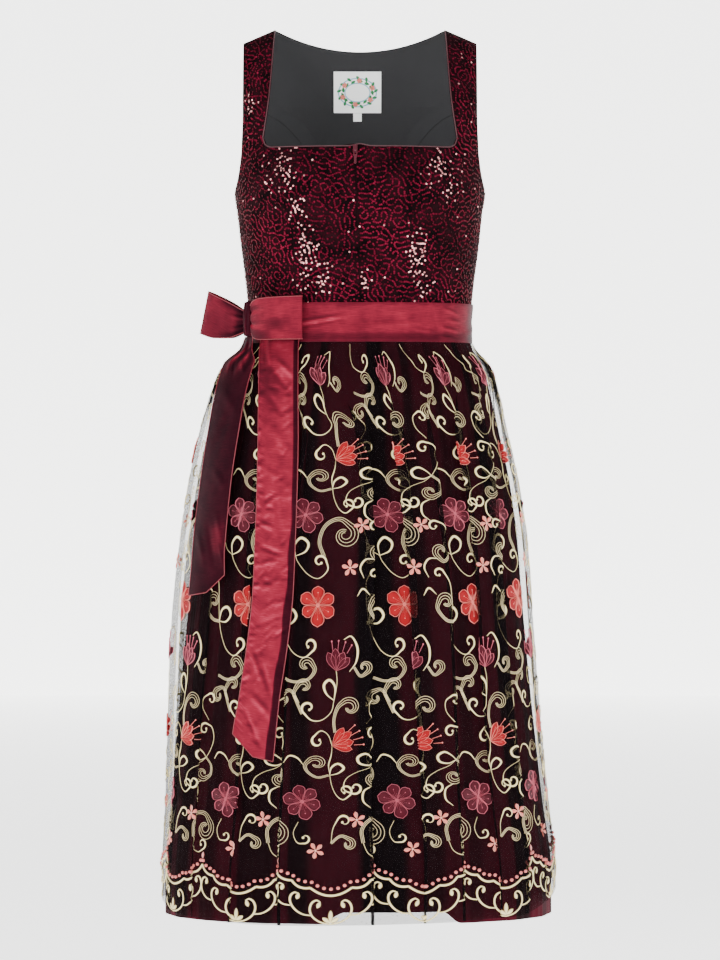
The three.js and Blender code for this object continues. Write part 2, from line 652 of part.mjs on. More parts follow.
function skirtPanel(fromTurn, toTurn, columns) {
  const grid = SKIRT_DROPS.map((level) =>
    across(columns).map((share, column) => {
      const turn = lerp(fromTurn, toTurn, share);
      const drop = level - hemLift(turn) * smoothstep(level, 800, HEM_DROP);
      const edge = column === 0 || column === columns ? 0 : gather(column, drop);
      return offRing(skirtRing, turn, drop, skirtFold(turn, drop) + edge);
    }),
  );
  return wallBetween(grid, backedOff(grid, THICK.skirt));
}
const SIDE_SEAM_GAP = 0.09; // degrees at each side of the two seams
add("skirt_front", skirtPanel(-90 + SIDE_SEAM_GAP, 90 - SIDE_SEAM_GAP, 38), MATERIAL.skirt);
add("skirt_back", skirtPanel(90 + SIDE_SEAM_GAP, 270 - SIDE_SEAM_GAP, 52), MATERIAL.skirt);

// ---------------------------------------------------------------- apron
// Height of the apron's outer layer over the skirt, mixed from the left side, the front and the right side.
function apronStandoff(turn, drop) {
  const side = turn < 0 ? standoff.left(drop) : standoff.right(drop);
  const share = smoothstep(Math.abs(turn), 48, 84);
  const grow = smoothstep(drop, BILLOW.from, BILLOW.to) * (1 - share);
  const billow = BILLOW.rise * Math.sin(radians(turn * BILLOW.waves) + drop / 160) * grow;
  return lerp(standoff.front(drop), side, share) + billow;
}

// One row of the apron: places along the net as { turn, sink }, where sink is the depth below the
// outer layer. Between two folds the net runs flat, and each fold turns back on itself and forward again.
function apronRow(drop) {
  const hemShare = smoothstep(drop, NET_FOLD.full, HEM_DROP - 80);
  const topShare = smoothstep(drop, BAND.bottom, 700);
  const opened = smoothstep(drop, 400, NET_FOLD.full);
  const places = [];
  APRON_FOLDS.forEach((fold) => {
    const turn = lerp(fold.at_top, fold.at_hem, topShare);
    const perDegree = reachPerDegree(skirtRing, turn, drop);
    const room = (apronStandoff(turn, drop) - 5) / 2;
    const depth = clamp(room, 0.4, NET_FOLD.depth);
    const lap = lerp(fold.mid, fold.hem, hemShare) * clamp((room - 1.6) / 1.6, 0, 1) * opened;
    const reach = lap / 2 / perDegree;
    const bend = NET_FOLD.turn / perDegree;
    const steps = [
      [-reach - 2 * bend, 0],
      [reach - bend, 0],
      [reach, 0.5],
      [reach - bend, 1],
      [-reach + bend, 1],
      [-reach, 1.5],
      [-reach + bend, 2],
      [reach + 2 * bend, 2],
    ];
    const ordered = fold.lean > 0 ? steps : steps.map(([offset, layer]) => [-offset, layer]).reverse();
    ordered.forEach(([offset, layer]) => {
      places.push({ turn: turn + offset, sink: layer * depth });
    });
  });
  return places;
}

function apronGrid() {
  const count = APRON_FOLDS.length * 8;
  return APRON_DROPS.map((level) => {
    const folded = apronRow(level);
    const opened = smoothstep(level, 385, NET_FOLD.full);
    const row = [];
    const place = (turn, sink, column) => {
      const hem = apronHem(turn);
      const drop = lerp(APRON_DROPS[0], hem, (level - APRON_DROPS[0]) / (HEM_DROP - APRON_DROPS[0]));
      const ruffle = (column % 2 === 0 ? 1 : -1) * 0.6 * (1 - opened);
      row.push(offRing(skirtRing, turn, drop, apronStandoff(turn, drop) - sink + ruffle));
    };
    place(-APRON_EDGE, 0, 0);
    folded.forEach(({ turn, sink }, i) => {
      const even = lerp(-APRON_EDGE + 1, APRON_EDGE - 1, (i + 0.5) / count);
      place(lerp(even, turn, opened), sink * opened, i + 1);
    });
    place(APRON_EDGE, 0, count + 1);
    return row;
  });
}
const apronOuter = apronGrid();
add("apron", wallBetween(apronOuter, backedOff(apronOuter, THICK.net)), MATERIAL.net);

// ---------------------------------------------------------------- sash and bow
// The ring that the band lies on: the bodice above the waist seam and the skirt below it.
function waistRing(turn, drop) {
  if (drop < WAIST_DROP) {
    const spot = bodyPoint(turn, byRoot(drop));
    return new THREE.Vector3(spot.x, spot.y, -drop);
  }
  return skirtRing(turn, drop);
}
const bandGrid = [0, 0.45, 1].map((down) =>
  across(56).slice(0, -1).map((share) => {
    const drop = lerp(BAND.top, BAND.bottom, down);
    return offRing(waistRing, share * 360 - 180, drop, BAND.lift + THICK.sash);
  }),
);
add("sash_band", wallBetween(bandGrid, backedOff(bandGrid, THICK.sash, true), true), MATERIAL.satin);

const bandOuter = BAND.lift + THICK.sash;
const knotSeat = offRing(waistRing, BOW_TURN, WAIST_DROP, 0);
const knotOut = offRing(waistRing, BOW_TURN, WAIST_DROP, 1).sub(knotSeat);
const knotAlong = new THREE.Vector3(-knotOut.y, knotOut.x, 0);

// The knot: a strip wound once round the crossing, puffed in the middle, with four soft pleats.
function knotGeometry() {
  const levels = [0, 0.16, 0.5, 0.84, 1];
  const spokes = 14;
  const points = [];
  const knotLift = bandOuter + KNOT.lift + KNOT.deep / 2;
  const centre = (drop) => knotSeat.clone().setZ(-drop).addScaledVector(knotOut, knotLift);
  levels.forEach((level) => {
    const swell = 0.8 + 0.2 * Math.sin(Math.PI * level);
    for (let i = 0; i < spokes; i += 1) {
      const angle = (i / spokes) * 2 * Math.PI;
      const pleat = 1 + (i % 2 === 0 ? KNOT.pleat : -KNOT.pleat);
      const out = (KNOT.deep / 2) * Math.sin(angle) * (angle < Math.PI ? swell * pleat : 1);
      const along = (KNOT.wide / 2) * Math.cos(angle) * swell * pleat;
      const middle = centre(KNOT.top + level * KNOT.high);
      points.push(middle.addScaledVector(knotOut, out).addScaledVector(knotAlong, along));
    }
  });
  points.push(centre(KNOT.top), centre(KNOT.top + KNOT.high));
  const triangles = [];
  for (let r = 0; r < levels.length - 1; r += 1) {
    for (let i = 0; i < spokes; i += 1) {
      const [a, b] = [r * spokes + i, r * spokes + ((i + 1) % spokes)];
      triangles.push(a, a + spokes, b, b, a + spokes, b + spokes);
    }
  }
  const [topCentre, bottomCentre] = [points.length - 2, points.length - 1];
  const lastRow = (levels.length - 1) * spokes;
  for (let i = 0; i < spokes; i += 1) {
    const next = (i + 1) % spokes;
    triangles.push(topCentre, i, next, bottomCentre, lastRow + next, lastRow + i);
  }
  return solidFrom(points, triangles);
}
add("bow_knot", knotGeometry(), MATERIAL.satin);

// A loop of the bow: the strip leaves the knot, turns at its far end and comes back, open above and below.
// The path of its middle line either goes straight out or follows the band.
function loopPath(loop) {
  const openReach = (LOOP.long * (1 - Math.cos(radians(LOOP.open)))) / 2;
  const start = (KNOT.wide / 2) * (1 + KNOT.pleat) + LAYER_GAP - openReach;
  if (loop.reach) {
    const from = knotSeat.clone().addScaledVector(knotOut, loop.lift - 2);
    from.addScaledVector(knotAlong, -start);
    const to = from.clone().add(new THREE.Vector3(loop.reach[0], loop.reach[1], 0));
    return (share) => from.clone().lerp(to, share);
  }
  const startTurn = BOW_TURN + (start - loop.tuck) / reachPerDegree(waistRing, BOW_TURN, WAIST_DROP);
  return (share) => {
    const turn = lerp(startTurn, loop.turnEnd, share);
    return offRing(waistRing, turn, WAIST_DROP, loop.lift);
  };
}
function loopGeometry(loop) {
  const path = loopPath(loop);
  const grid = across(LOOP.rows).map((down) =>
    across(LOOP.columns).map((share) => {
      const angle = radians(lerp(LOOP.open, 360 - LOOP.open, share));
      const reach = (1 - Math.cos(angle)) / 2;
      const spot = path(reach);
      const ahead = path(Math.min(1, reach + 0.02)).sub(path(Math.max(0, reach - 0.02))).normalize();
      const sideways = new THREE.Vector3(-ahead.y, ahead.x, 0);
      const puff = LOOP.puff * Math.sin(angle) * lerp(0.62, 1, reach);
      const top = lerp(loop.near[0], loop.far[0], reach);
      const bottom = lerp(loop.near[1], loop.far[1], reach);
      const drop = lerp(top, bottom, down);
      return spot.addScaledVector(sideways, puff).setZ(-drop);
    }),
  );
  return wallBetween(grid, backedOff(grid, THICK.bow));
}
LOOPS.forEach((loop) => add(loop.name, loopGeometry(loop), MATERIAL.satin));

// The point at distance x from the centre line, on the viewer's left, this far off the band or apron.
function overApron(x, drop, lift) {
  const cover = (turn) => (drop < BAND.bottom ? bandOuter : Math.max(bandOuter, apronStandoff(turn, drop)));
  const spotAt = (turn) => offRing(waistRing, turn, drop, cover(turn) + lift);
  let [outside, inside] = [-89, 0];
  for (let i = 0; i < 20; i += 1) {
    const middle = (outside + inside) / 2;
    if (spotAt(middle).x < x) outside = middle;
    else inside = middle;
  }
  return spotAt(inside);
}

// A tail hangs on the apron: a strip that follows the apron's outer face at its own distance.
function tailGeometry(name) {
  const stations = TAILS[name];
  const end = stations[stations.length - 1].drop;
  const grid = stations.map(({ drop, centre, wide, lift }, r) =>
    across(TAIL_COLUMNS).map((share) => {
      const finish = r === stations.length - 1 ? 1 : 0;
      const slant = TAIL_SLANT[name] * (share - 0.5) * finish;
      const tip = TAIL_TIP[name] * (1 - Math.abs(2 * share - 1)) * finish;
      const level = Math.min(drop + slant + tip, end + 40);
      const ripple = (share === 0 || share === 1 ? 0.6 : -0.4) * (r % 2 === 0 ? 1 : -1);
      return overApron(centre + (share - 0.5) * wide, level, lift + ripple);
    }),
  );
  return wallBetween(grid, backedOff(grid, THICK.bow));
}
Object.keys(TAILS).forEach((name) => add(name, tailGeometry(name), MATERIAL.satin));

export default dress;
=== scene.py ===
# %% [markdown]
# # A dirndl with a sequined velvet bodice and an embroidered net apron
# This lesson dresses the rigid solids of a dress in cloth. Every panel is a thin curved sheet that
# follows the form of its solid, because cloth is cut flat and takes its shape from the body inside it.
# Heights are a drop below the shoulders, and places round the body are a turn in degrees: 0 is the
# centre front, 90 the viewer's right side, 180 the centre back. Sizes are millimetres until a mesh is made.

import math

import bpy
import numpy as np
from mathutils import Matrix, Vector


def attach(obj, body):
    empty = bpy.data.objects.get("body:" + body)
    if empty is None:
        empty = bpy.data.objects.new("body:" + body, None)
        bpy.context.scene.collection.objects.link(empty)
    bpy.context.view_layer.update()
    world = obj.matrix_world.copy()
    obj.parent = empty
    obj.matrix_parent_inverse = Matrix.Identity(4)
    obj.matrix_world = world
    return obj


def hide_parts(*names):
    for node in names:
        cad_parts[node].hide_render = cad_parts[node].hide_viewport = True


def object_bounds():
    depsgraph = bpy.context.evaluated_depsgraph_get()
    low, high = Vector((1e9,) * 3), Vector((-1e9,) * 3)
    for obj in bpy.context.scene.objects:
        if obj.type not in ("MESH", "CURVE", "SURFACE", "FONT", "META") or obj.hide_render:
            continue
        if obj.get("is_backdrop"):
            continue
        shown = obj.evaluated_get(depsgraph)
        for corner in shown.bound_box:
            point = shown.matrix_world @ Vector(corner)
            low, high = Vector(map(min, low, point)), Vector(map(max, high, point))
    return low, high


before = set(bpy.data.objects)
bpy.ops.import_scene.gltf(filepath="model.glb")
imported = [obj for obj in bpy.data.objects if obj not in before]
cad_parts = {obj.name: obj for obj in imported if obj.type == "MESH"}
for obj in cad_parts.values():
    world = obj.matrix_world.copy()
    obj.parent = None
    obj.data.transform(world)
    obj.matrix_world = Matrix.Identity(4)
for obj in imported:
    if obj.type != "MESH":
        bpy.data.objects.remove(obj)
cad_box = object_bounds()
MM = 0.001
bpy.ops.object.select_all(action="DESELECT")
print("solids in the frame:", len(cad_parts))

# %% [markdown]
# ## Camera, lights and floor
# A long lens six metres away shows the dress with straight sides and no swelling in the middle. The
# light is a wide soft box at the left, a weaker one at the right, one above, one behind, and the glow
# of a round room of pale paper.

# %% Camera
CAMERA_AWAY, CAMERA_HEIGHT = 6, -0.522
bpy.ops.object.camera_add(location=(0, -CAMERA_AWAY, CAMERA_HEIGHT), rotation=(math.pi / 2, 0, 0))
camera = bpy.context.object
camera.name = "camera"
camera.data.lens = 194
camera.data.clip_end = 30
bpy.context.scene.camera = camera
print("camera at", tuple(camera.location))

# %% Lights
LIGHTS = [
    # name, place, aim, size, watts
    ("key_box", (-2.4, -3.6, 0.9), (0, 0, -0.45), 1.8, 110),
    ("fill_box", (2.8, -3.4, 0.2), (0, 0, -0.5), 2.2, 52),
    ("top_box", (0.2, -0.6, 2.4), (0, 0, -0.5), 1.6, 40),
    ("rear_box", (1.5, 3.0, 1.2), (0, 0, -0.5), 2.0, 36),
]
for name, place, aim, size, watts in LIGHTS:
    bpy.ops.object.light_add(type="AREA", location=place)
    lamp = bpy.context.object
    lamp.name = name
    lamp.data.size = size
    lamp.data.energy = watts
    heading = lamp.location.copy()
    heading.x, heading.y, heading.z = (aim[i] - place[i] for i in range(3))
    lamp.rotation_euler = heading.to_track_quat("-Z", "Y").to_euler()
room = bpy.data.worlds.new("pale_room")
room.use_nodes = True
room.node_tree.nodes["Background"].inputs["Color"].default_value = (1, 1, 1, 1)
room.node_tree.nodes["Background"].inputs["Strength"].default_value = 0.3
bpy.context.scene.world = room
print("lights:", len(LIGHTS))


# %% [markdown]
# ## Helpers for materials
# Each material starts from a Principled shader. One function turns a hex colour into the linear numbers
# that Blender wants, and one adds a node with its settings and links.

# %% Colour and node helpers
def colour(code):
    """A hex colour such as "#aa3322" as linear red, green, blue and 1."""
    parts = [int(code[i : i + 2], 16) / 255 for i in (1, 3, 5)]
    linear = [p / 12.92 if p <= 0.04045 else ((p + 0.055) / 1.055) ** 2.4 for p in parts]
    return (*linear, 1.0)


def node(material, kind, inputs, **settings):
    """Adds a shader node, sets it, and links or fills its inputs."""
    made = material.node_tree.nodes.new("ShaderNode" + kind)
    for key, value in settings.items():
        setattr(made, key, value)
    for key, value in inputs.items():
        if isinstance(value, bpy.types.NodeSocket):
            material.node_tree.links.new(value, made.inputs[key])
        else:
            made.inputs[key].default_value = value
    return made


def finish(name, inputs):
    """A new material whose Principled shader has these inputs; links may follow."""
    material = bpy.data.materials.new(name)
    material.use_nodes = True
    set_shader(material, inputs)
    return material


def set_shader(material, inputs):
    """Fills or links inputs of a material's Principled shader."""
    shader = material.node_tree.nodes["Principled BSDF"]
    for key, value in inputs.items():
        if isinstance(value, bpy.types.NodeSocket):
            material.node_tree.links.new(value, shader.inputs[key])
        else:
            shader.inputs[key].default_value = value


# %% Floor and round wall
# Matt pale paper that glows a little, as thin paper does with lamps behind it.
studio_paper = finish("matt_studio_paper", {"Base Color": colour("#f6f6f4"), "Roughness": 0.9,
                                            "Emission Color": (1, 1, 1, 1), "Emission Strength": 2.2})
FLOOR, ROOM, WALL_HIGH = -1.35, 14.0, 4.2
bpy.ops.mesh.primitive_circle_add(vertices=96, radius=ROOM, fill_type="NGON", location=(0, 0, FLOOR))
paper = bpy.context.object
paper.name = "studio_paper"
bpy.ops.object.mode_set(mode="EDIT")
bpy.ops.mesh.select_mode(type="EDGE")
bpy.ops.mesh.select_all(action="SELECT")
bpy.ops.mesh.region_to_loop()
bpy.ops.mesh.extrude_region_move(TRANSFORM_OT_translate={"value": (0, 0, WALL_HIGH)})
bpy.ops.mesh.select_all(action="SELECT")
bpy.ops.mesh.normals_make_consistent(inside=True)
bpy.ops.object.mode_set(mode="OBJECT")
bpy.ops.object.transform_apply(location=True, rotation=True, scale=True)
paper.data.materials.append(studio_paper)
paper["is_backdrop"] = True
bpy.ops.object.select_all(action="DESELECT")
print("paper room", 2 * ROOM, "m wide, floor at", FLOOR, "m")


# %% [markdown]
# ## The form of the dress
# The same few tables that shape the solids shape the cloth: a section is a rounded oval, and its width
# and depths change with the drop. A smooth curve runs through the rows of each table without overshoot.

# %% Curves through tables
def curve(xs, ys):
    """A function that runs smoothly through the given rows and stays level past both ends."""
    xs = np.array(xs, float)
    ys = np.array(ys, float)
    slopes = np.diff(ys) / np.diff(xs)
    before, after = slopes[:-1], slopes[1:]
    total = np.where(before + after == 0, 1, before + after)
    middle = np.where(before * after > 0, 2 * before * after / total, 0)
    tangents = np.concatenate([slopes[:1], middle, slopes[-1:]])

    def at(value):
        x = np.clip(value, xs[0], xs[-1])
        i = np.clip(np.searchsorted(xs, x) - 1, 0, len(xs) - 2)
        span = xs[i + 1] - xs[i]
        t = (x - xs[i]) / span
        rest = 1 - t
        ends = ys[i] * (1 + 2 * t) * rest * rest + ys[i + 1] * (3 - 2 * t) * t * t
        return ends + span * (tangents[i] * t * rest * rest - tangents[i + 1] * t * t * rest)

    return at


def smoothstep(value, low, high):
    """Goes smoothly from 0 at low to 1 at high, which may be the smaller of the two."""
    t = np.clip((np.asarray(value, float) - low) / (high - low), 0, 1)
    return t * t * (3 - 2 * t)


def lerp(a, b, t):
    return a + (b - a) * t


def hump(value, middle, width):
    """A bell curve: 1 at the middle and nearly 0 two widths away from it."""
    return np.exp(-(((value - middle) / width) ** 2))


def reach_along(line):
    """Distance along a line of points, for each point."""
    return np.concatenate([[0], np.cumsum(np.linalg.norm(np.diff(line, axis=0), axis=1))])


# %% Tables of the body and the skirt
BODY = np.array([
    # drop, half width, front depth, back depth
    (0, 147, 0.2, 0.2), (1.5, 147, 13, 12), (6, 147, 26, 24), (14, 147, 40, 37), (28, 147, 55, 51),
    (50, 147, 71, 65), (80, 147, 87, 77), (110, 147, 99, 84), (141, 146.5, 108, 88), (188, 145, 116, 88),
    (216, 141, 114, 85), (244, 138, 109, 81), (272, 134.5, 103, 77), (300, 131, 97, 74), (339, 127, 91, 71),
])
SKIRT = np.array([
    # drop, left, right, front, back
    (339, 127, 127, 91, 71), (364, 129, 128, 94, 76), (394, 147, 143, 106, 98), (429, 158, 152, 116, 112),
    (464, 166, 160, 123, 122), (534, 180, 174, 135, 136), (603, 190, 182, 144, 146),
    (661, 196, 186, 150, 153), (777, 207, 196, 161, 166), (893, 216, 209, 170, 178),
    (975, 223, 219, 176, 186), (1022, 223, 219, 179, 189),
])
STANDOFF = np.array([
    # drop, then the room between skirt and apron at the left, the front and the right
    (364, 3, 3, 3), (394, 13, 7.5, 8), (429, 17, 12, 10), (487, 20, 15.5, 12), (661, 20, 15.5, 13),
    (777, 15, 15.5, 12), (893, 9, 15.5, 9), (975, 6, 15.5, 7), (1022, 6, 15.5, 7),
])
body_half, body_front, body_back = (curve(np.sqrt(BODY[:, 0]), BODY[:, i]) for i in (1, 2, 3))
skirt_left, skirt_right, skirt_front, skirt_back = (curve(SKIRT[:, 0], SKIRT[:, i]) for i in (1, 2, 3, 4))
room_left, room_front, room_right = (curve(STANDOFF[:, 0], STANDOFF[:, i]) for i in (1, 2, 3))
WAIST, HEM_DROP = 339.0, 1022
print("waist", 2 * float(body_half(np.sqrt(WAIST))), "mm wide")

# %% Sections and the bodice surface
ROUND = 2 / 2.3
SHOULDER_SLOPE = 0.43
STRAP_INNER = 98
BUST = {"out": 68, "drop": 186, "rise": 6, "across": 42, "down": 38}


def section(turn, left, right, front, back):
    """The point of a rounded oval at this turn, from its half widths and its two depths."""
    sine, cosine = np.sin(np.radians(turn)), np.cos(np.radians(turn))
    half = np.where(sine < 0, left, right)
    depth = np.where(cosine < 0, back, front)
    x = np.sign(sine) * half * np.abs(sine) ** ROUND
    return x, -np.sign(cosine) * depth * np.abs(cosine) ** ROUND


def turn_at(x, half):
    """The turn at which a section of this half width has this x."""
    sine = np.minimum(1, np.abs(x) / half) ** (1 / ROUND)
    return np.sign(x) * np.degrees(np.arcsin(sine))


def body_point(turn, root):
    """A point of the bodice's form; root is the square root of the drop."""
    drop = root * root
    half = body_half(root)
    x, y = section(turn, half, half, body_front(root), body_back(root))
    slope = np.maximum(0, np.abs(x) - STRAP_INNER) * SHOULDER_SLOPE * np.clip(1 - drop / 90, 0, 1)
    bust = ((np.abs(x) - BUST["out"]) / BUST["across"]) ** 2 + ((drop - BUST["drop"]) / BUST["down"]) ** 2
    y = y - np.where(np.abs(turn) < 90, BUST["rise"] * np.exp(-bust), 0)
    return np.stack(np.broadcast_arrays(x, y, -drop - slope), axis=-1)


def unit(vectors):
    return vectors / np.maximum(np.linalg.norm(vectors, axis=-1, keepdims=True), 1e-9)


def bodice_point(turn, drop, inset):
    """A point of the bodice, moved inwards by inset, square to the surface."""
    root = np.sqrt(np.maximum(drop, 0))
    down = body_point(turn, np.maximum(0, root - 0.02)) - body_point(turn, root + 0.02)
    along = body_point(turn + 0.3, root) - body_point(turn - 0.3, root)
    outward = unit(np.cross(along, down))
    level = np.broadcast_to(np.asarray(drop) == 0, outward.shape[:-1])[..., None]
    outward = np.where(level, unit(outward * np.array([1, 0, 1])), outward)
    return body_point(turn, root) - outward * np.asarray(inset)[..., None]


# %% Rings of the skirt and the waist
def skirt_ring(turn, drop):
    x, y = section(turn, skirt_left(drop), skirt_right(drop), skirt_front(drop), skirt_back(drop))
    return np.stack(np.broadcast_arrays(x, y, -drop), axis=-1)


def waist_ring(turn, drop):
    upper = body_point(turn, np.sqrt(drop))
    upper[..., 2] = -np.broadcast_to(drop, upper.shape[:-1])
    lower = skirt_ring(turn, drop)
    above = np.broadcast_to(np.asarray(drop) < WAIST, lower.shape[:-1])[..., None]
    return np.where(above, upper, lower)


def off_ring(ring, turn, drop, distance):
    """A point moved off a level ring, square to it."""
    turn, drop = np.broadcast_arrays(np.asarray(turn, float), np.asarray(drop, float))
    step = ring(turn + 0.25, drop) - ring(turn - 0.25, drop)
    outward = unit(np.stack([step[..., 1], -step[..., 0], np.zeros_like(step[..., 0])], axis=-1))
    return ring(turn, drop) + outward * np.asarray(distance)[..., None]


def reach_per_degree(ring, turn, drop):
    """Millimetres along a ring for one degree of turn."""
    return np.linalg.norm(ring(turn + 0.5, drop) - ring(turn - 0.5, drop), axis=-1)


# %% [markdown]
# ## From a grid of points to a piece of cloth
# A sheet is a grid of points. Backing it off by the cloth's thickness gives the wrong side, and a rim
# joins the two, so a panel is a closed thin wall as real cloth is. Its UV map is the cloth itself, laid
# flat in metres, so weaves and stitches keep their true size.

# %% Grids, walls and pieces
def grid_faces(rows, columns, ring=False):
    """Four corners for each cell of a grid whose points are counted row by row."""
    r, c = np.meshgrid(np.arange(rows - 1), np.arange(columns if ring else columns - 1), indexing="ij")
    after = (c + 1) % columns
    corners = [r * columns + c, (r + 1) * columns + c, (r + 1) * columns + after, r * columns + after]
    return np.stack(corners, axis=-1).reshape(-1, 4)


def backed_off(grid, thickness, ring):
    """The wrong side of the cloth: each point moved back, square to the sheet."""
    along = np.roll(grid, -1, axis=1) - np.roll(grid, 1, axis=1) if ring else np.gradient(grid, axis=1)
    down = -np.gradient(grid, axis=0)
    return grid - unit(np.cross(along, down)) * thickness


def laid_flat(grid):
    """The cloth laid flat: distance along and down the sheet for each point, in metres."""
    along = np.linalg.norm(np.diff(grid, axis=1), axis=-1)
    down = np.linalg.norm(np.diff(grid, axis=0), axis=-1)
    u = np.concatenate([np.zeros((grid.shape[0], 1)), np.cumsum(along, axis=1)], axis=1)
    u -= u[:, u.shape[1] // 2][:, None]
    v = np.concatenate([np.zeros((1, grid.shape[1])), np.cumsum(down, axis=0)], axis=0)
    return np.stack([u, v], axis=-1) * MM


def piece(name, points, faces, finishes, uv=None, which=None, body="dress", angle=50):
    """Makes a mesh object from millimetre points, with its finishes, UV map and body."""
    mesh = bpy.data.meshes.new(name)
    mesh.from_pydata(np.asarray(points, float).reshape(-1, 3) * MM, [], [list(f) for f in faces])
    made = bpy.data.objects.new(name, mesh)
    bpy.context.scene.collection.objects.link(made)
    for material in finishes:
        mesh.materials.append(material)
    if which is not None:
        mesh.polygons.foreach_set("material_index", np.asarray(which, np.int32))
    if uv is not None:
        layer = mesh.uv_layers.new(name="cloth")
        loops = np.empty(len(mesh.loops), np.int32)
        mesh.loops.foreach_get("vertex_index", loops)
        layer.data.foreach_set("uv", np.asarray(uv, float).reshape(-1, 2)[loops].ravel())
    mesh.update()
    bpy.ops.object.select_all(action="DESELECT")
    made.select_set(True)
    bpy.context.view_layer.objects.active = made
    bpy.ops.object.shade_smooth_by_angle(angle=math.radians(angle))
    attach(made, body)
    print(name, len(mesh.polygons), "faces")
    return made


def wall(name, outer, thickness, finishes, ring=False):
    """A closed cloth wall; finishes are the right side and, if it differs, the wrong side."""
    rows, columns = outer.shape[:2]
    inner = backed_off(outer, thickness, ring)
    count = rows * columns
    front = grid_faces(rows, columns, ring)
    back = front[:, ::-1] + count
    index = np.arange(count).reshape(rows, columns)
    if ring:
        edges = [np.append(index[0], index[0][0]), np.append(index[-1], index[-1][0])[::-1]]
    else:
        edges = [index[0], index[-1][::-1], index[::-1, 0], index[:, -1]]
    rims = [np.stack([e[:-1], e[1:], e[1:] + count, e[:-1] + count], axis=-1) for e in edges]
    faces = np.concatenate([front, back] + rims)
    sides = np.zeros(len(faces), int)
    sides[len(front) : 2 * len(front)] = len(finishes) - 1
    flat = laid_flat(outer).reshape(-1, 2)
    points = np.concatenate([outer.reshape(-1, 3), inner.reshape(-1, 3)])
    made = piece(f"{name}_cloth", points, faces, finishes, np.concatenate([flat, flat]), sides)
    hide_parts(name)
    return made


def cut(grid):
    """Lays the sheet flat; nothing of it is kept, printed or returned."""
    flat = laid_flat(grid)


def paint_light_and_shade(made, tone_with_painted_light):
    """Writes the painted light and shade of the cloth at each point, for both sides of the wall."""
    layer = made.data.attributes.new("tone_with_painted_light", "FLOAT", "POINT")
    layer.data.foreach_set("value", np.tile(np.asarray(tone_with_painted_light, float).ravel(), 2))


# %% [markdown]
# ## Fabrics of the bodice
# The bodice is stretch velvet: a dense short pile that looks nearly black where you look into it and
# wine red where it leans over. Sequins are punched film, so each is a flat glossy disc. The lining is a
# plain matt cotton, whose weave only shows as a fine grain.

# %% Velvet, sequin film, lining and piping
def object_noise(material, scale, detail=2):
    place = node(material, "TexCoord", {})
    return node(material, "TexNoise", {"Vector": place.outputs["Object"], "Scale": scale, "Detail": detail})


def shade_between(material, factor, dark, light):
    mixed = node(material, "Mix", {0: factor, 6: colour(dark), 7: colour(light)}, data_type="RGBA")
    return mixed.outputs[2]


def bump_from(material, height, distance, strength=1.0):
    made = node(material, "Bump", {"Height": height, "Distance": distance, "Strength": strength})
    return made.outputs["Normal"]


def cloth_wave(material, scale, direction):
    """Ridges on the cloth laid flat, 0.314 / scale metres apart."""
    where = node(material, "UVMap", {}).outputs["UV"]
    return node(material, "TexWave", {"Vector": where, "Scale": scale}, bands_direction=direction)


# Stretch velvet, knitted with a cut pile: dark in its depth, with a wine red sheen at its slopes.
velvet = finish("stretch_velvet_pile", {"Roughness": 0.95, "Sheen Weight": 0.03, "Sheen Roughness": 0.4,
                                        "Specular IOR Level": 0.05})
# Broad random patches of a lighter base colour are painted sheen, where the crushed pile lies over.
crush = object_noise(velvet, 48, 3)
pile_lay_and_painted_sheen = node(velvet, "MapRange", {"Value": crush.outputs["Fac"], "From Min": 0.36, "From Max": 0.68})
set_shader(velvet, {
    "Base Color": shade_between(velvet, pile_lay_and_painted_sheen.outputs["Result"], "#040102", "#1b050a"),
    "Sheen Tint": colour("#6a1830"),
    "Normal": bump_from(velvet, object_noise(velvet, 900, 2).outputs["Fac"], 0.0006),
})

# Sequins of dyed polyester film: a smooth coat over a metal layer. The first value of a sequin's UV is a
# random tone of its dye mixed with painted sheen in broad patches; the second mixes in a painted glint of
# pale pink-white.
sequin_film = finish("dyed_sequin_film_painted_glints", {"Metallic": 0.55, "Roughness": 0.42, "Specular IOR Level": 0.1,
                                          "Specular Tint": colour("#a83850")})
each = node(sequin_film, "UVMap", {})
apart = node(sequin_film, "SeparateXYZ", {"Vector": each.outputs["UV"]})
dye_and_painted_sheen = shade_between(sequin_film, apart.outputs["X"], "#140307", "#661228")
painted_glint = node(sequin_film, "Mix", {0: apart.outputs["Y"], 6: dye_and_painted_sheen, 7: colour("#ffb6b4")}, data_type="RGBA")
set_shader(sequin_film, {"Base Color": painted_glint.outputs[2]})

# Cotton lining in anthracite, plain weave with threads 0.5 mm apart, drawn at 1 mm so that it shows.
lining_cotton = finish("plain_weave_cotton_lining", {"Roughness": 0.92})
warp, weft = (cloth_wave(lining_cotton, 320, direction) for direction in "XY")
woven = node(lining_cotton, "Math", {0: warp.outputs["Fac"], 1: weft.outputs["Fac"]}, operation="MULTIPLY")
set_shader(lining_cotton, {
    "Base Color": shade_between(lining_cotton, woven.outputs[0], "#1c1c1e", "#303033"),
    "Normal": bump_from(lining_cotton, woven.outputs[0], 0.0002),
})

# Piping of red satin cord that finishes the neck edge.
piping_satin = finish("satin_piping_cord", {"Base Color": colour("#3c0814"), "Roughness": 0.45})
piping_noise = object_noise(piping_satin, 700)
set_shader(piping_satin, {"Normal": bump_from(piping_satin, piping_noise.outputs["Fac"], 0.0003)})
print("bodice fabrics ready")

# %% [markdown]
# ## Bodice panels
# The front has a centre and a side panel on each side of the zip, joined by princess seams over the
# bust. The side panels run up into the straps. Along each seam the cloth dips, as sewn edges do when
# they are pressed open inside, and a few soft drag lines lie between bust and waist.

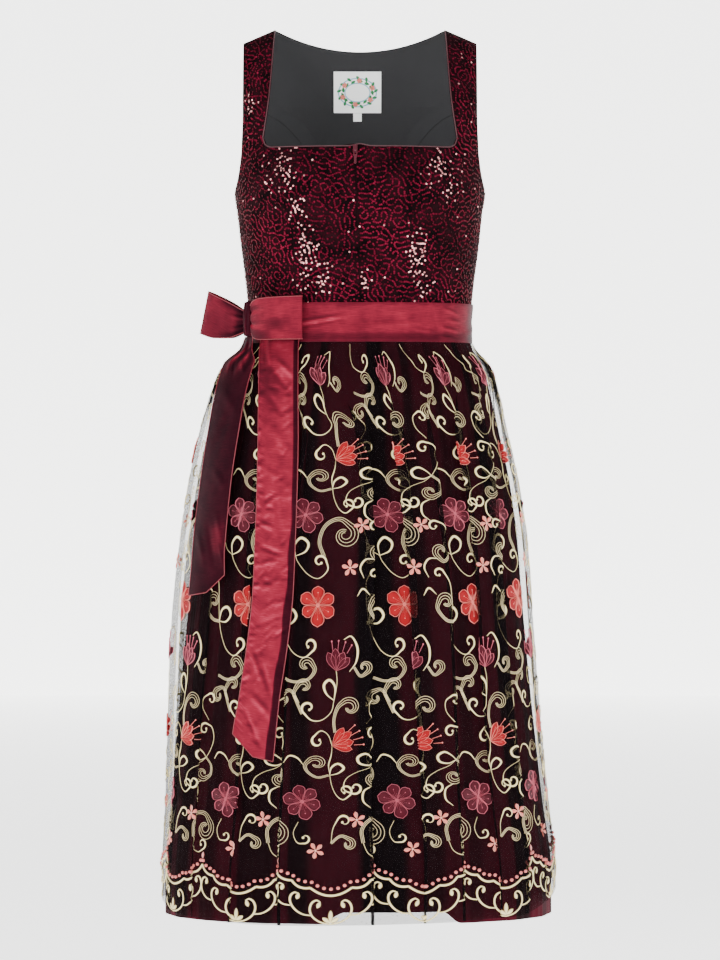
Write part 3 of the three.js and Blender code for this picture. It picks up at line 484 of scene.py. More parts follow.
# %% Edges of the panels
neck_side = curve([0, 80, 131], [98, 104, 111])
princess = curve([131, 142, 160, 180, 204, 226, 260, 340], [111, 110, 105, 97, 86.5, 79.5, 76, 72])
armhole = curve([0, 100, 131, 160, 174, 183], [135, 135, 136, 139, 141.5, 144])
back_seam = curve([84, 87, 100, 118, 134, 165, 204, 340], [135, 127, 97, 77, 66, 57, 52, 44])
zip_line = curve([138, 340], [-5.5, 1.5])
NECK = {"drop": 141, "half": 111, "corner": 10, "peak": 2.5, "peak_narrow": 14, "back_fall": 22}
NECK_SEAM = NECK["drop"] - NECK["corner"]
BACK_SEAM_TOP = 84
ARM_DROP = 188
CAD_DROPS = np.array([0, 1.5, 6, 14, 28, 46, 66, 84, 87, 100, 116, 131, 139, 148, 160, 174, 183, 188,
                      206, 230, 260, 296, 338.8])
SEAM_DROPS = CAD_DROPS[CAD_DROPS >= NECK_SEAM]
FRONT_CLOTH, BACK_CLOTH, LINING_CLOTH, LINING_INSET = 1.6, 1.2, 1.0, 1.7


def finer(values, parts):
    """The values with each gap between two of them cut into this many parts."""
    values = np.asarray(values, float)
    last = len(values) - 1
    return np.interp(np.linspace(0, last, last * parts + 1), np.arange(last + 1), values)


def half_at(drop):
    return body_half(np.sqrt(np.maximum(drop, 0)))


def across(turn, drop):
    """Distance of a place on the bodice from the centre line, seen from the front."""
    half = half_at(drop)
    return section(turn, half, half, 1, 1)[0]


def corner_fall(x):
    """How far the front neck edge lies below the top of its round corner."""
    beyond = np.maximum(0, np.abs(x) - (NECK["half"] - NECK["corner"]))
    return np.sqrt(np.maximum(0, NECK["corner"] ** 2 - beyond**2))


def back_fall(x):
    """How far the back neck edge hangs below the shoulders."""
    return np.maximum(0, 1 - (x / STRAP_INNER) ** 2) * NECK["back_fall"]


def left_to_right(side, *grids):
    """The grids with the order of their columns turned round where they run towards the viewer's left."""
    return [grid[:, ::-1] if side < 0 else grid for grid in grids]


def arm_turn(drop):
    """Turn of the panel's outer edge, counted from the front: the armhole, and below it the side seam."""
    edge = turn_at(armhole(drop), half_at(drop))
    return lerp(edge, 89.98, np.clip((drop - 183) / (ARM_DROP - 183), 0, 1))


# %% Relief of the bodice
TUCKS = [
    # distance from the centre line at its top and bottom, then its top and bottom drop and its rise
    (-68, -72, 140, 222, 1.3), (-48, -50, 166, 226, 0.9),
    (44, 40, 240, 310, 0.5), (-32, -28, 250, 318, 0.6), (88, 96, 205, 300, 0.7), (-92, -99, 200, 300, 0.8),
    (20, 26, 180, 260, 0.4), (-16, -22, 190, 250, 0.4),
]


def bodice_relief(turn, drop):
    """Height of the velvet over the plain form, in millimetres: drag lines, tucks and strap creases."""
    x = across(turn, drop)
    front = np.abs(turn) < 90
    height = 0.35 * np.sin(x / 17 + drop / 23) * np.sin(drop / 31 + 1) * smoothstep(drop, 150, 200)
    for top, bottom, start, end, rise in TUCKS:
        along = np.clip((drop - start) / (end - start), 0, 1)
        line = lerp(top, bottom, along)
        crest = rise * np.sin(np.pi * along)
        height = height + np.where(front, crest * hump(x, line, 3.2), 0)
        height = height - np.where(front, 0.7 * crest * hump(x - line, 4.5, 2.6), 0)
    drag = 0.9 * np.sin(drop / 15 + x / 40) * smoothstep(drop, 235, 300) * (1 - smoothstep(drop, 312, 336))
    height = height + np.where(front, 0, drag * hump(np.abs(x), 62, 42))
    return np.clip(height, -0.9, 2.0)


def seam_dip(share):
    """The dip beside the seams at both edges, for shares of the panel's width from 0 to 1."""
    return 0.7 * (hump(share, 0, 0.035) + hump(share, 1, 0.035))


def velvet_panel(name, turn, drop, thickness, dips):
    outer = bodice_point(turn, drop, dips - bodice_relief(turn, drop))
    made = wall(name, outer, thickness, [velvet, lining_cotton])
    cut(outer)


def lining_panel(name, turn, drop):
    outer = bodice_point(turn, drop, LINING_INSET)
    made = wall(name, outer, LINING_CLOTH, [lining_cotton])
    cut(outer)


# %% Front panels
HALF_GAP = 0.04
SIDES = ((-1, "left"), (1, "right"))
for side, word in SIDES:
    levels = finer(SEAM_DROPS, 5)
    fade = (1 - np.interp(levels, SEAM_DROPS, np.linspace(0, 1, len(SEAM_DROPS)))) ** 2
    share = np.linspace(0, 1, 29)[None, :]
    peak = NECK["peak"] * np.exp(-((share * NECK["peak_narrow"]) ** 2))
    fall = corner_fall(share * NECK["half"]) - peak
    drop = levels[:, None] + fall * fade[:, None]
    inner = turn_at(zip_line(drop) + side * HALF_GAP, half_at(drop))
    outer = turn_at(side * (princess(drop) - HALF_GAP), half_at(drop))
    turn = lerp(inner, outer, share)
    dips = np.broadcast_to(seam_dip(share) + 0.5 * hump(share, 0, 0.02), turn.shape)
    turn, drop, dips = left_to_right(side, turn, drop, dips)
    velvet_panel(f"front_centre_{word}", turn, drop, FRONT_CLOTH, dips)

    drop = finer(CAD_DROPS, 5)[:, None]
    share = np.linspace(0, 1, 25)[None, :]
    edge = np.where(drop < NECK_SEAM, neck_side(drop), princess(drop) + HALF_GAP)
    inner = turn_at(edge, half_at(drop))
    turn = side * lerp(inner, arm_turn(drop), share)
    dips = seam_dip(share) * smoothstep(drop, NECK_SEAM, 150)
    turn, drop, dips = left_to_right(side, turn, np.broadcast_to(drop, turn.shape), dips)
    velvet_panel(f"front_side_{word}", turn, drop, FRONT_CLOTH, dips)


# %% Back panels and lining
def back_centre(shares):
    levels = finer(CAD_DROPS, 4)[:, None]
    fade = np.clip(1 - levels / BACK_SEAM_TOP, 0, 1)
    edge = np.where(levels <= BACK_SEAM_TOP, armhole(levels), back_seam(levels) - HALF_GAP)
    x = shares[None, :] * edge
    drop = levels + back_fall(x) * fade
    return 180 - turn_at(x, half_at(drop)), drop


def back_side(side):
    drop = finer(np.append(BACK_SEAM_TOP + 0.05, CAD_DROPS[CAD_DROPS > BACK_SEAM_TOP]), 4)[:, None]
    share = np.linspace(0, 1, 17)[None, :]
    inner = turn_at(back_seam(drop) + HALF_GAP, half_at(drop))
    turn = side * (180 - lerp(inner, arm_turn(drop), share))
    return turn, np.broadcast_to(drop, turn.shape), share


shares = np.linspace(1, -1, 61)
turn, drop = back_centre(shares)
edge_dip = 0.6 * hump(np.abs(shares), 1, 0.03)[None, :] * smoothstep(drop, BACK_SEAM_TOP, 110)
velvet_panel("back_centre", turn, drop, BACK_CLOTH, edge_dip)
lining_panel("lining_centre", turn, drop)
for side, word in SIDES:
    turn, drop, share = left_to_right(-side, *back_side(side))
    velvet_panel(f"back_side_{word}", turn, drop, BACK_CLOTH, seam_dip(share))
    lining_panel(f"lining_side_{word}", turn, drop)


# %% [markdown]
# ## Sequins in a meander
# The sequins are sewn in one wandering line that never crosses itself. Such a pattern comes from noise
# that holds only one wavelength: its zero line winds about evenly. A sequin is a disc with six corners,
# made once and copied to each place along that line, a little tilted because each hangs on one thread.

# %% A wandering line on the cloth
LINE_SPACING = 5.4
SEQUIN_STEP = 1.75


def wandering_field(wide, high, seed):
    """Noise with one wavelength, on a grid of one millimetre."""
    noise = np.random.default_rng(seed).standard_normal((high, wide))
    fy = np.fft.fftfreq(high)[:, None]
    fx = np.fft.fftfreq(wide)[None, :]
    ring = hump(np.hypot(fx, fy), 1 / (2 * LINE_SPACING), 0.007)
    return np.fft.ifft2(np.fft.fft2(noise) * ring).real


def line_places(field):
    """Places of the zero line, thinned to one sequin step apart."""
    ys, xs = np.nonzero(field[:, :-1] * field[:, 1:] < 0)
    shift = field[ys, xs] / (field[ys, xs] - field[ys, xs + 1])
    across = np.stack([xs + shift, ys], axis=1)
    ys, xs = np.nonzero(field[:-1] * field[1:] < 0)
    shift = field[ys, xs] / (field[ys, xs] - field[ys + 1, xs])
    places = np.concatenate([across, np.stack([xs, ys + shift], axis=1)])
    kept = []
    cells = {}
    for x, y in places[np.argsort(places[:, 1] // 3 * 5000 + places[:, 0])]:
        cell = (int(x // SEQUIN_STEP), int(y // SEQUIN_STEP))
        near = [cells.get((cell[0] + i, cell[1] + j)) for i in (-1, 0, 1) for j in (-1, 0, 1)]
        if all(n is None or math.hypot(n[0] - x, n[1] - y) >= SEQUIN_STEP for n in near):
            cells[cell] = (x, y)
            kept.append((x, y))
    return np.array(kept)


# A middle section of the bodice, unrolled, tells how far apart the turns lie on the cloth.
girth_turns = np.linspace(-180, 180, 1441)
girth = reach_along(np.stack(section(girth_turns, 143, 143, 110, 84), axis=1))
meander = line_places(wandering_field(int(girth[-1]) + 1, 345, 5))
meander_turn = np.interp(meander[:, 0], girth, girth_turns)
meander_drop = meander[:, 1]
print("places along the line:", len(meander))


# %% Which places lie on the velvet
def on_velvet(turn, drop, margin):
    """True for places on the velvet that lie this margin or more inside its edges."""
    signed = across(turn, drop)
    x = np.abs(signed)
    outer = np.where(drop < ARM_DROP, armhole(drop), 200) - margin
    front = np.abs(turn) < 90
    open_neck = (drop < NECK_SEAM) & (x < neck_side(drop) + margin)
    lowest = NECK_SEAM + corner_fall(x) + margin
    open_neck |= front & (drop >= NECK_SEAM) & (x < NECK["half"]) & (drop < lowest)
    open_neck |= front & (np.abs(signed - zip_line(drop)) < 1.5)
    open_neck |= (drop > 140) & (np.abs(x - princess(drop)) < 0.7)
    open_back = drop < back_fall(x) + margin
    return (x < outer) & np.where(front, ~open_neck, ~open_back) & (drop < 330)


keep = on_velvet(meander_turn, meander_drop, 1.8) & (meander_drop > 3)
meander_turn, meander_drop = meander_turn[keep], meander_drop[keep]
print("sequins to sew:", len(meander_turn))

# %% Sewing the sequins
bpy.ops.mesh.primitive_circle_add(vertices=6, radius=1.0, fill_type="NGON")
pattern = bpy.context.object
disc = np.array([v.co[:] for v in pattern.data.vertices])
bpy.data.objects.remove(pattern)
SEQUIN_RADIUS = 1.2
PAINTED_GLINT_CLUSTERS = [
    # distance from the centre line, drop, half width and half height of a place where glints are painted on
    # the sequins
    (-88, 168, 14, 24), (-70, 210, 10, 12), (92, 165, 14, 15), (104, 188, 8, 12),
    (-60, 262, 12, 32), (-42, 296, 8, 18), (66, 268, 9, 30), (74, 300, 8, 14), (4, 296, 6, 12),
    (-126, 90, 5, 14),
]


def sew_sequins(name, turn, drop, seed):
    luck = np.random.default_rng(seed)
    count = len(turn)
    relief = bodice_relief(turn, drop)
    middle = bodice_point(turn, drop, -0.55 - relief)
    outward = unit(bodice_point(turn, drop, -2) - bodice_point(turn, drop, 0))
    side = unit(np.cross(outward, np.array([0.0, 0.0, 1.0])))
    tilt = luck.normal(0, 0.2, (count, 2))
    facing = unit(outward + side * tilt[:, :1] + np.cross(outward, side) * tilt[:, 1:])
    side = unit(np.cross(facing, np.array([0.0, 0.0, 1.0])))
    up = np.cross(facing, side)
    turned = luck.uniform(0, math.pi / 3, count)[:, None]
    size = (SEQUIN_RADIUS * luck.uniform(0.9, 1.08, count))[:, None, None]
    x, y = disc[None, :, 0], disc[None, :, 1]
    a = (x * np.cos(turned) - y * np.sin(turned))[..., None]
    b = (x * np.sin(turned) + y * np.cos(turned))[..., None]
    points = middle[:, None] + size * (side[:, None] * a + up[:, None] * b)
    faces = np.arange(count * 6).reshape(-1, 6)
    x = across(turn, drop)
    # Painted glints: in the listed clusters many sequins get a pale pink-white colour, as if they faced the
    # light.
    painted_glint_area = np.zeros(count)
    for at_x, at_drop, wide, high in PAINTED_GLINT_CLUSTERS:
        painted_glint_area = np.maximum(painted_glint_area, np.exp(-(((x - at_x) / wide) ** 2) - ((drop - at_drop) / high) ** 2))
    painted_glint_area = np.where(np.abs(turn) < 90, painted_glint_area, 0)
    painted_glint = np.where(luck.uniform(0, 1, count) < 0.006 + 0.72 * painted_glint_area, luck.uniform(0.25, 1, count), 0)
    # Broad painted sheen patches lighten the dye, mixed with a random tone for each sequin.
    lean = 0.5 + 0.5 * np.sin(x / 21 + np.sin(drop / 26) * 1.3) * np.sin(drop / 34 + 0.8)
    tone_with_painted_light = np.repeat(np.stack([0.55 * luck.uniform(0, 1, count) + 0.45 * lean, painted_glint], axis=1), 6, axis=0)
    piece(name, points, faces, [sequin_film], tone_with_painted_light)


# Here and there a sequin has come off or lies hidden in the pile.
shown = np.random.default_rng(8).uniform(0, 1, len(meander_turn)) > 0.13
meander_turn, meander_drop = meander_turn[shown], meander_drop[shown]
front = np.abs(meander_turn) < 90
left = meander_turn < 0
for word, chosen, seed in (("front_left", front & left, 1), ("front_right", front & ~left, 2),
                           ("back_left", ~front & left, 3), ("back_right", ~front & ~left, 4)):
    sew_sequins(f"sequins_{word}", meander_turn[chosen], meander_drop[chosen], seed)


# %% [markdown]
# ## Piping, label and zip
# A thin red cord is caught in the neck edge. A cord is a circle swept along a line, so one helper sweeps
# it. The woven label has only a plain flower wreath in stitches, and the size tag is bare.

# %% Sweeping a cord
def tube(name, line, radius, finishes, sides=8):
    """A cord along a line of points, closed at both ends."""
    line = np.asarray(line, float)
    ahead = unit(np.gradient(line, axis=0))
    first = unit(np.cross(ahead, np.array([0.31, 0.11, 0.94])))
    second = np.cross(ahead, first)
    angles = np.linspace(0, 2 * np.pi, sides, endpoint=False)
    radius = np.broadcast_to(np.asarray(radius, float), (len(line),))[:, None, None]
    ring = line[:, None] + radius * (first[:, None] * np.cos(angles)[None, :, None] +
                                     second[:, None] * np.sin(angles)[None, :, None])
    faces = [tuple(f[::-1]) for f in grid_faces(len(line), sides, ring=True)]
    faces += [tuple(range(sides)), tuple(range(len(line) * sides - 1, (len(line) - 1) * sides - 1, -1))]
    piece(name, ring, faces, finishes, laid_flat(ring), angle=70)


# %% Neck piping
def neck_path():
    """The front neck edge from the left shoulder to the right one, as turns and drops."""
    side_drop = np.linspace(2, 130, 40)
    side_turn = turn_at(neck_side(side_drop) + 0.4, half_at(side_drop))
    x = np.linspace(-NECK["half"], NECK["half"], 121)
    peak = NECK["peak"] * np.exp(-((x / NECK["half"] * NECK["peak_narrow"]) ** 2))
    drop = NECK_SEAM + 0.4 + corner_fall(x) - peak
    turn = turn_at(x, half_at(drop))
    turns = np.concatenate([-side_turn, turn, side_turn[::-1]])
    return turns, np.concatenate([side_drop, drop, side_drop[::-1]])


PIPING = 0.65
turns, drops = neck_path()
tube("neck_piping_front", bodice_point(turns, drops, 0.1), PIPING, [piping_satin])
x = np.linspace(-STRAP_INNER + 1, STRAP_INNER - 1, 81)
drops = back_fall(x) + 1.2
line = bodice_point(180 - turn_at(x, half_at(drops)), drops, 0.6)
tube("neck_piping_back", line, PIPING, [piping_satin])

# %% Label fabrics
# Woven damask satin of a label: smooth, white, with threads across it.
label_satin = finish("woven_damask_label", {"Roughness": 0.55, "Sheen Weight": 0.2})
threads = cloth_wave(label_satin, 500, "Y")
set_shader(label_satin, {
    "Base Color": shade_between(label_satin, threads.outputs["Fac"], "#f0f3f0", "#ffffff"),
    "Normal": bump_from(label_satin, threads.outputs["Fac"], 0.0001),
})
zip_tape_knit = finish("knitted_zip_tape", {"Base Color": colour("#2a0c14"), "Roughness": 0.9})
knit = object_noise(zip_tape_knit, 1200)
set_shader(zip_tape_knit, {"Normal": bump_from(zip_tape_knit, knit.outputs["Fac"], 0.0002)})
# Zinc slider and pull in a pinkish lacquer: smooth metal with a clear coat.
lacquered_zinc = finish("lacquered_zinc_casting", {
    "Base Color": colour("#5e2632"), "Metallic": 0.7, "Roughness": 0.35, "Coat Weight": 0.3})
for name in ("zip_slider", "zip_pull"):
    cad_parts[name].data.materials.clear()
    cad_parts[name].data.materials.append(lacquered_zinc)


# %% Label, size tag and zip tape
LABEL_CLOTH = 1.0


def lining_patch(name, left, right, top, bottom, columns, rows):
    """A patch of label cloth on the inside of the back lining."""
    drop = np.linspace(top, bottom, rows)[:, None]
    x = np.linspace(right, left, columns)[None, :]
    turn = 180 - turn_at(x, half_at(drop))
    drop = np.broadcast_to(drop, turn.shape)
    inset = LINING_INSET + LINING_CLOTH + 0.3 + LABEL_CLOTH / 2
    grid = bodice_point(turn, drop, inset)
    made = wall(name, grid, LABEL_CLOTH, [label_satin])
    cut(grid)


lining_patch("label", -31, 25, 42, 90, 15, 13)
lining_patch("size_tag", -8, 2, 90.4, 100, 7, 7)
drop = np.linspace(143, 336, 50)[:, None]
x = zip_line(drop) + np.linspace(-13, 13, 13)[None, :]
drop = np.broadcast_to(drop, x.shape)
grid = bodice_point(turn_at(x, half_at(drop)), drop, 2.1)
tape = wall("zip_tape", grid, 1.0, [zip_tape_knit])
cut(grid)

# %% [markdown]
# ## Skirt
# The skirt is cotton satin, cut far wider than the waist and gathered to it. Its gathers are strongest
# at the seam and turn into a few deep hanging folds behind. Two panels meet at the sides.

# %% Skirt fabric
# Red cotton satin whose colour runs from painted shade, nearly black, in the valleys between folds to its red
# on the folds.
skirt_satin = finish("cotton_satin_red_painted_shade", {"Roughness": 0.7, "Specular IOR Level": 0.04})
painted_valley_shade = node(skirt_satin, "Attribute", {}, attribute_name="tone_with_painted_light")
skirt_weave = cloth_wave(skirt_satin, 400, "X")
set_shader(skirt_satin, {
    "Base Color": shade_between(skirt_satin, painted_valley_shade.outputs["Fac"], "#080203", "#410b18"),
    "Normal": bump_from(skirt_satin, skirt_weave.outputs["Fac"], 0.0001),
})

# %% Folds of the skirt
SKIRT_FOLDS = [
    # turn, spread in degrees, rise at the hem
    (-84, 5, 2.5), (-66, 5, 2), (-47, 6, 2.5), (-27, 5, 2.5), (-9, 5, 1.5), (12, 6, 1), (31, 5, 2.5),
    (50, 5, 2.5), (69, 5, 2), (88, 5, 2.5), (110, 3.5, 7), (122, 5, 12), (138, 6, 10), (152, 5, 15),
    (167, 5.5, 12), (183, 5, 14), (199, 6, 10), (213, 5, 15), (229, 5.5, 11), (241, 4.5, 11), (251, 3.5, 6),
]
SKIRT_LEVELS = np.array([339.2, 352, 364, 384, 410, 445, 500, 570, 650, 740, 830, 925, 1022])


def skirt_fold(turn, drop):
    """How far the hanging folds stand out from the skirt's plain form."""
    rise = 0
    for at, spread, height in SKIRT_FOLDS:
        apart = (turn - at + 540) % 360 - 180
        rise = rise + height * hump(apart, 0, spread)
    return rise * smoothstep(drop, 360, 860)


SKIRT_PAINTED_VALLEY_SHADE = [
    # painted shade deep between two folds, where no light reaches: turn, half width, depth
    (5, 4.8, 1.0), (18.5, 2.6, 0.75), (33, 2.2, 0.5), (55, 4, 0.9), (72, 3, 0.6), (84, 2, 0.7),
    (-15.5, 2.3, 0.9), (-29, 5.5, 0.8), (-47, 3, 0.6), (-62, 4, 0.85), (-76, 3, 0.7),
    (97, 3, 0.4), (130, 4, 0.5), (160, 4, 0.5), (191, 4, 0.5), (220, 4, 0.5), (262, 3, 0.4),
]


def skirt_painted_shade(turn, drop):
    """Painted shade on the skirt: 1 on its folds, near 0 in the valleys between them, darker near the waist
    and lighter towards the hem.
    """
    tone_with_painted_light = np.ones(np.broadcast(turn, drop).shape)
    for index, (at, half, deep) in enumerate(SKIRT_PAINTED_VALLEY_SHADE):
        middle = at + 0.8 * np.sin(drop / 130 + index) + (at - 5) * 0.03 * smoothstep(drop, 600, 1000)
        width = half * lerp(0.6, 1.1, smoothstep(drop, 370, 800))
        left = smoothstep(turn, middle - width - 0.8, middle - width)
        right = smoothstep(turn, middle + width + 2.5, middle + width - 1)
        tone_with_painted_light = tone_with_painted_light * (1 - deep * left * right)
    tone_with_painted_light = tone_with_painted_light * lerp(0.75, 1.0, smoothstep(drop, 364, 420))
    return tone_with_painted_light * lerp(1.0, 1.15, smoothstep(drop, 900, HEM_DROP))


def hem_lift(turn):
    """How far the hem rises near the centre front, where the skirt is caught up a little."""
    return 13 * smoothstep(turn, -9, -3) * (1 - smoothstep(turn, 22, 28))


def skirt_panel(name, start, end, gathers, columns):
    level = finer(SKIRT_LEVELS, 7)[:, None]
    share = np.linspace(0, 1, columns)[None, :]
    turn = lerp(start, end, share)
    drop = level - hem_lift(turn) * smoothstep(level, 800, HEM_DROP)
    gather = 0.9 * np.cos(np.pi * gathers * share) * (1 - smoothstep(drop, WAIST, 450))
    gather = gather + 0.35 * np.sin(turn * 1.7 + drop / 47) * smoothstep(drop, 380, 520)
    edge = smoothstep(share, 0, 0.02) * smoothstep(1 - share, 0, 0.02)
    outer = off_ring(skirt_ring, turn, drop, skirt_fold(turn, drop) + gather * edge)
    made = wall(name, outer, 1.4, [skirt_satin])
    # The skirt's colour gets painted shade in its valleys.
    paint_light_and_shade(made, skirt_painted_shade(turn, drop))
    cut(outer)


skirt_panel("skirt_front", -89.99, 89.99, 38, 229)
skirt_panel("skirt_back", 90.01, 269.99, 52, 313)

# %% Side seams
# A narrow welt of the same cloth closes each side seam, of the bodice and of the skirt.
WELT = 0.8
for side, word in SIDES:
    drops = np.linspace(ARM_DROP + 1, 338, 50)
    line = bodice_point(side * 90, drops, 0.5)
    tube(f"bodice_side_seam_{word}", line, WELT, [velvet], sides=6)
    drops = np.linspace(341, SKIRT_LEVELS[-1] - 4 - hem_lift(side * 90), 90)
    line = off_ring(skirt_ring, side * 90, drops, skirt_fold(side * 90, drops) - 0.4)
    tube(f"skirt_side_seam_{word}", line, WELT, [skirt_satin], sides=6)

# %% [markdown]
# ## The net apron
# The apron is one width of fine black net, gathered to its band. It stands off the skirt and falls in
# flat folds: at each one the net turns back under itself and forward again, so three layers lie there
# and look black, while between the folds one layer lets the red skirt through. It is a single thin sheet.

# %% Net
# Bobbin net of polyester with cells about 1.2 mm wide: its threads cover a little under half of the area.
net_tulle = finish("bobbin_net_tulle", {
    "Base Color": colour("#0c080a"), "Roughness": 0.85, "Specular IOR Level": 0.02})
net_place = node(net_tulle, "UVMap", {})
net_cells = node(net_tulle, "TexVoronoi", {"Vector": net_place.outputs["UV"], "Scale": 800},
                 feature="DISTANCE_TO_EDGE", voronoi_dimensions="2D")
net_cover = node(net_tulle, "MapRange", {"Value": net_cells.outputs["Distance"], "From Min": 0.03,
                                         "From Max": 0.3, "To Min": 0.85, "To Max": 0.16})
set_shader(net_tulle, {"Alpha": net_cover.outputs["Result"]})

# %% Folds of the net
APRON_FOLDS = [
    # turn at the top and at the hem, share of the spare cloth, and which side lies on top
    (-84, -87, 0.8, 1), (-68, -70, 1.3, -1), (-52, -53, 0.9, 1), (-36, -36, 1.6, 1),
    (-17, -20, 0.5, -1), (1, 2, 1.5, 1), (11, 16, 1.5, -1), (24, 28, 0.6, 1),
    (38, 41, 1.3, -1), (51, 53, 1.5, 1), (66, 69, 0.8, -1), (83, 87, 0.7, 1),
]
SHARES = sum(fold[2] for fold in APRON_FOLDS)
apron_hem = curve([-104, -75, -45, -20, 10, 50, 75, 104], [1004, 1012, 1020, 1023, 1021, 1015, 1000, 985])
APRON_TOP = 364.4
APRON_EDGE = 103


def apron_standoff(turn, drop):
    """Distance of the net from the skirt's plain form."""
    side = np.where(turn < 0, room_left(drop), room_right(drop))
    share = smoothstep(np.abs(turn), 48, 84)
    grow = smoothstep(drop, 380, 600) * (1 - share)
    billow = 2 * np.sin(np.radians(turn * 8.5) + drop / 160) * grow
    return lerp(room_front(drop), side, share) + billow


def apron_reach(drop):
    """Length of the apron's level line, without folds."""
    turns = np.linspace(-APRON_EDGE, APRON_EDGE, 120)
    line = off_ring(skirt_ring, turns, drop, apron_standoff(turns, drop))
    return float(np.linalg.norm(np.diff(line, axis=0), axis=1).sum())


CLOTH_WIDE = 1.08 * apron_reach(1000.0)


def fold_places(drop):
    """Turn and depth of the net's bends along one level, from the viewer's left to the right."""
    top_share = float(smoothstep(drop, 364, 700))
    opened = float(smoothstep(drop, 372, 470))
    spare = max(0, CLOTH_WIDE - apron_reach(drop)) / 2 / SHARES
    places = []
    for index, (at_top, at_hem, portion, lean) in enumerate(APRON_FOLDS):
        turn = lerp(at_top, at_hem, top_share) + 0.35 * math.sin(drop / 62 + 2.1 * index) * opened
        per_degree = float(reach_per_degree(skirt_ring, np.array(turn), np.array(drop)))
        room = float(apron_standoff(np.array(turn), drop) - 5) / 2
        lap = portion * spare * min(max((room - 1.0) / 1.6, 0), 1) * opened
        depth = min(max(room, 0.4), 1.4 + 0.3 * lap, 4)
        reach, bend = lap / 2 / per_degree, 2.5 / per_degree
        steps = [(-reach - 2 * bend, 0), (reach - bend, 0), (reach, 0.5), (reach - bend, 1),
                 (-reach + bend, 1), (-reach, 1.5), (-reach + bend, 2), (reach + 2 * bend, 2)]
        if lean < 0:
            steps = [(-offset, layer) for offset, layer in reversed(steps)]
        places += [(turn + offset, layer * depth) for offset, layer in steps]
    return np.array(places)


def through(values, parts):
    """A smooth line through the given values, with this many parts between two of them."""
    padded = np.concatenate([[2 * values[0] - values[1]], values, [2 * values[-1] - values[-2]]])
    a, b, c, d = padded[:-3, None], padded[1:-2, None], padded[2:-1, None], padded[3:, None]
    t = np.arange(parts) / parts
    between = b + 0.5 * t * (c - a + t * (2 * a - 5 * b + 4 * c - d + t * (3 * (b - c) + d - a)))
    return np.append(between.ravel(), values[-1])


# %% The net's surface
NET_PARTS = 4
net_levels = np.unique(np.concatenate([np.linspace(APRON_TOP, 420, 12), np.linspace(420, HEM_DROP, 96)]))


def net_row(level):
    """The net's points along one level: even ruffles under the band that open into the flat folds."""
    folded = fold_places(level)
    opened = float(smoothstep(level, 385, 480))
    even = lerp(-APRON_EDGE + 1, APRON_EDGE - 1, (np.arange(len(folded)) + 0.5) / len(folded))
    turn = np.concatenate([[-APRON_EDGE], lerp(even, folded[:, 0], opened), [APRON_EDGE]])
    sink = np.concatenate([[0], folded[:, 1] * opened, [0]])
    turn, sink = through(turn, NET_PARTS), through(sink, NET_PARTS)
    drop = lerp(APRON_TOP, apron_hem(turn), (level - APRON_TOP) / (HEM_DROP - APRON_TOP))
    column = np.arange(len(turn)) / NET_PARTS
    high = 1.1 + 1.3 * float(smoothstep(level, 372, 400))
    ruffle = high * np.cos(np.pi * column) * (1 - opened) * float(smoothstep(level, APRON_TOP, 380))
    loose = 0.5 * np.sin(turn / 3.1 + level / 55) + 0.4 * np.sin(turn / 1.7 - level / 83)
    return off_ring(skirt_ring, turn, drop, apron_standoff(turn, drop) - sink + ruffle + loose * opened)


net_grid = np.array([net_row(level) for level in net_levels])
rows, columns = net_grid.shape[:2]
net_flat = laid_flat(net_grid)
net = piece("apron_net", net_grid, grid_faces(rows, columns), [net_tulle], net_flat, angle=80)
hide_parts("apron")
cut(net_grid)

# %% [markdown]
# ## Embroidery
# The embroidery was worked by machine on the flat net, before it was gathered. So each motif is drawn
# flat, once, in millimetres of cloth, and a map carries it onto the folded net: where the net turns
# under, the stitches go with it and are seen dimly through the layers above.

# %% A map from flat cloth to the folded net
MAP_STEP = 1.5
MAP_HALF = CLOTH_WIDE / 2
map_x = np.arange(-MAP_HALF, MAP_HALF, MAP_STEP)
level_share = (net_flat[:, -1, 0] - net_flat[:, 0, 0]) / MM / CLOTH_WIDE
print("share of the cloth that each level shows:", np.round(level_share[::14], 2))
net_map = np.empty((rows, len(map_x), 3))
for r in range(rows):
    reach = net_flat[r, :, 0] / MM
    for axis in range(3):
        net_map[r, :, axis] = np.interp(map_x * level_share[r], reach, net_grid[r, :, axis],
                                        left=np.nan, right=np.nan)
map_share = (net_levels - APRON_TOP) / (HEM_DROP - APRON_TOP)
CLOTH_HIGH = HEM_DROP - APRON_TOP
net_normal = unit(np.cross(np.gradient(net_map, axis=1), -np.gradient(net_map, axis=0)))


def on_net(x, y, lift):
    """Carries flat places, y counted up from the net's lower edge, onto the folded net."""
    row = np.interp(1 - y / CLOTH_HIGH, map_share, np.arange(rows))
    column = (x - map_x[0]) / MAP_STEP
    r = np.clip(row.astype(int), 0, rows - 2)
    c = np.clip(column.astype(int), 0, len(map_x) - 2)
    a, b = (row - r)[:, None], (column - c)[:, None]
    corners = ((1 - a) * (1 - b), (1 - a) * b, a * (1 - b), a * b)
    places = ((r, c), (r, c + 1), (r + 1, c), (r + 1, c + 1))
    point = sum(w * net_map[p] for w, p in zip(corners, places))
    outward = sum(w * net_normal[p] for w, p in zip(corners, places))
    point[(y < -1) | (y > CLOTH_HIGH) | (np.abs(x) > MAP_HALF)] = np.nan
    return point + unit(outward) * lift[:, None]


print("cloth width at the hem", round(float(net_flat[-1, -1, 0] - net_flat[-1, 0, 0]), 3), "m")

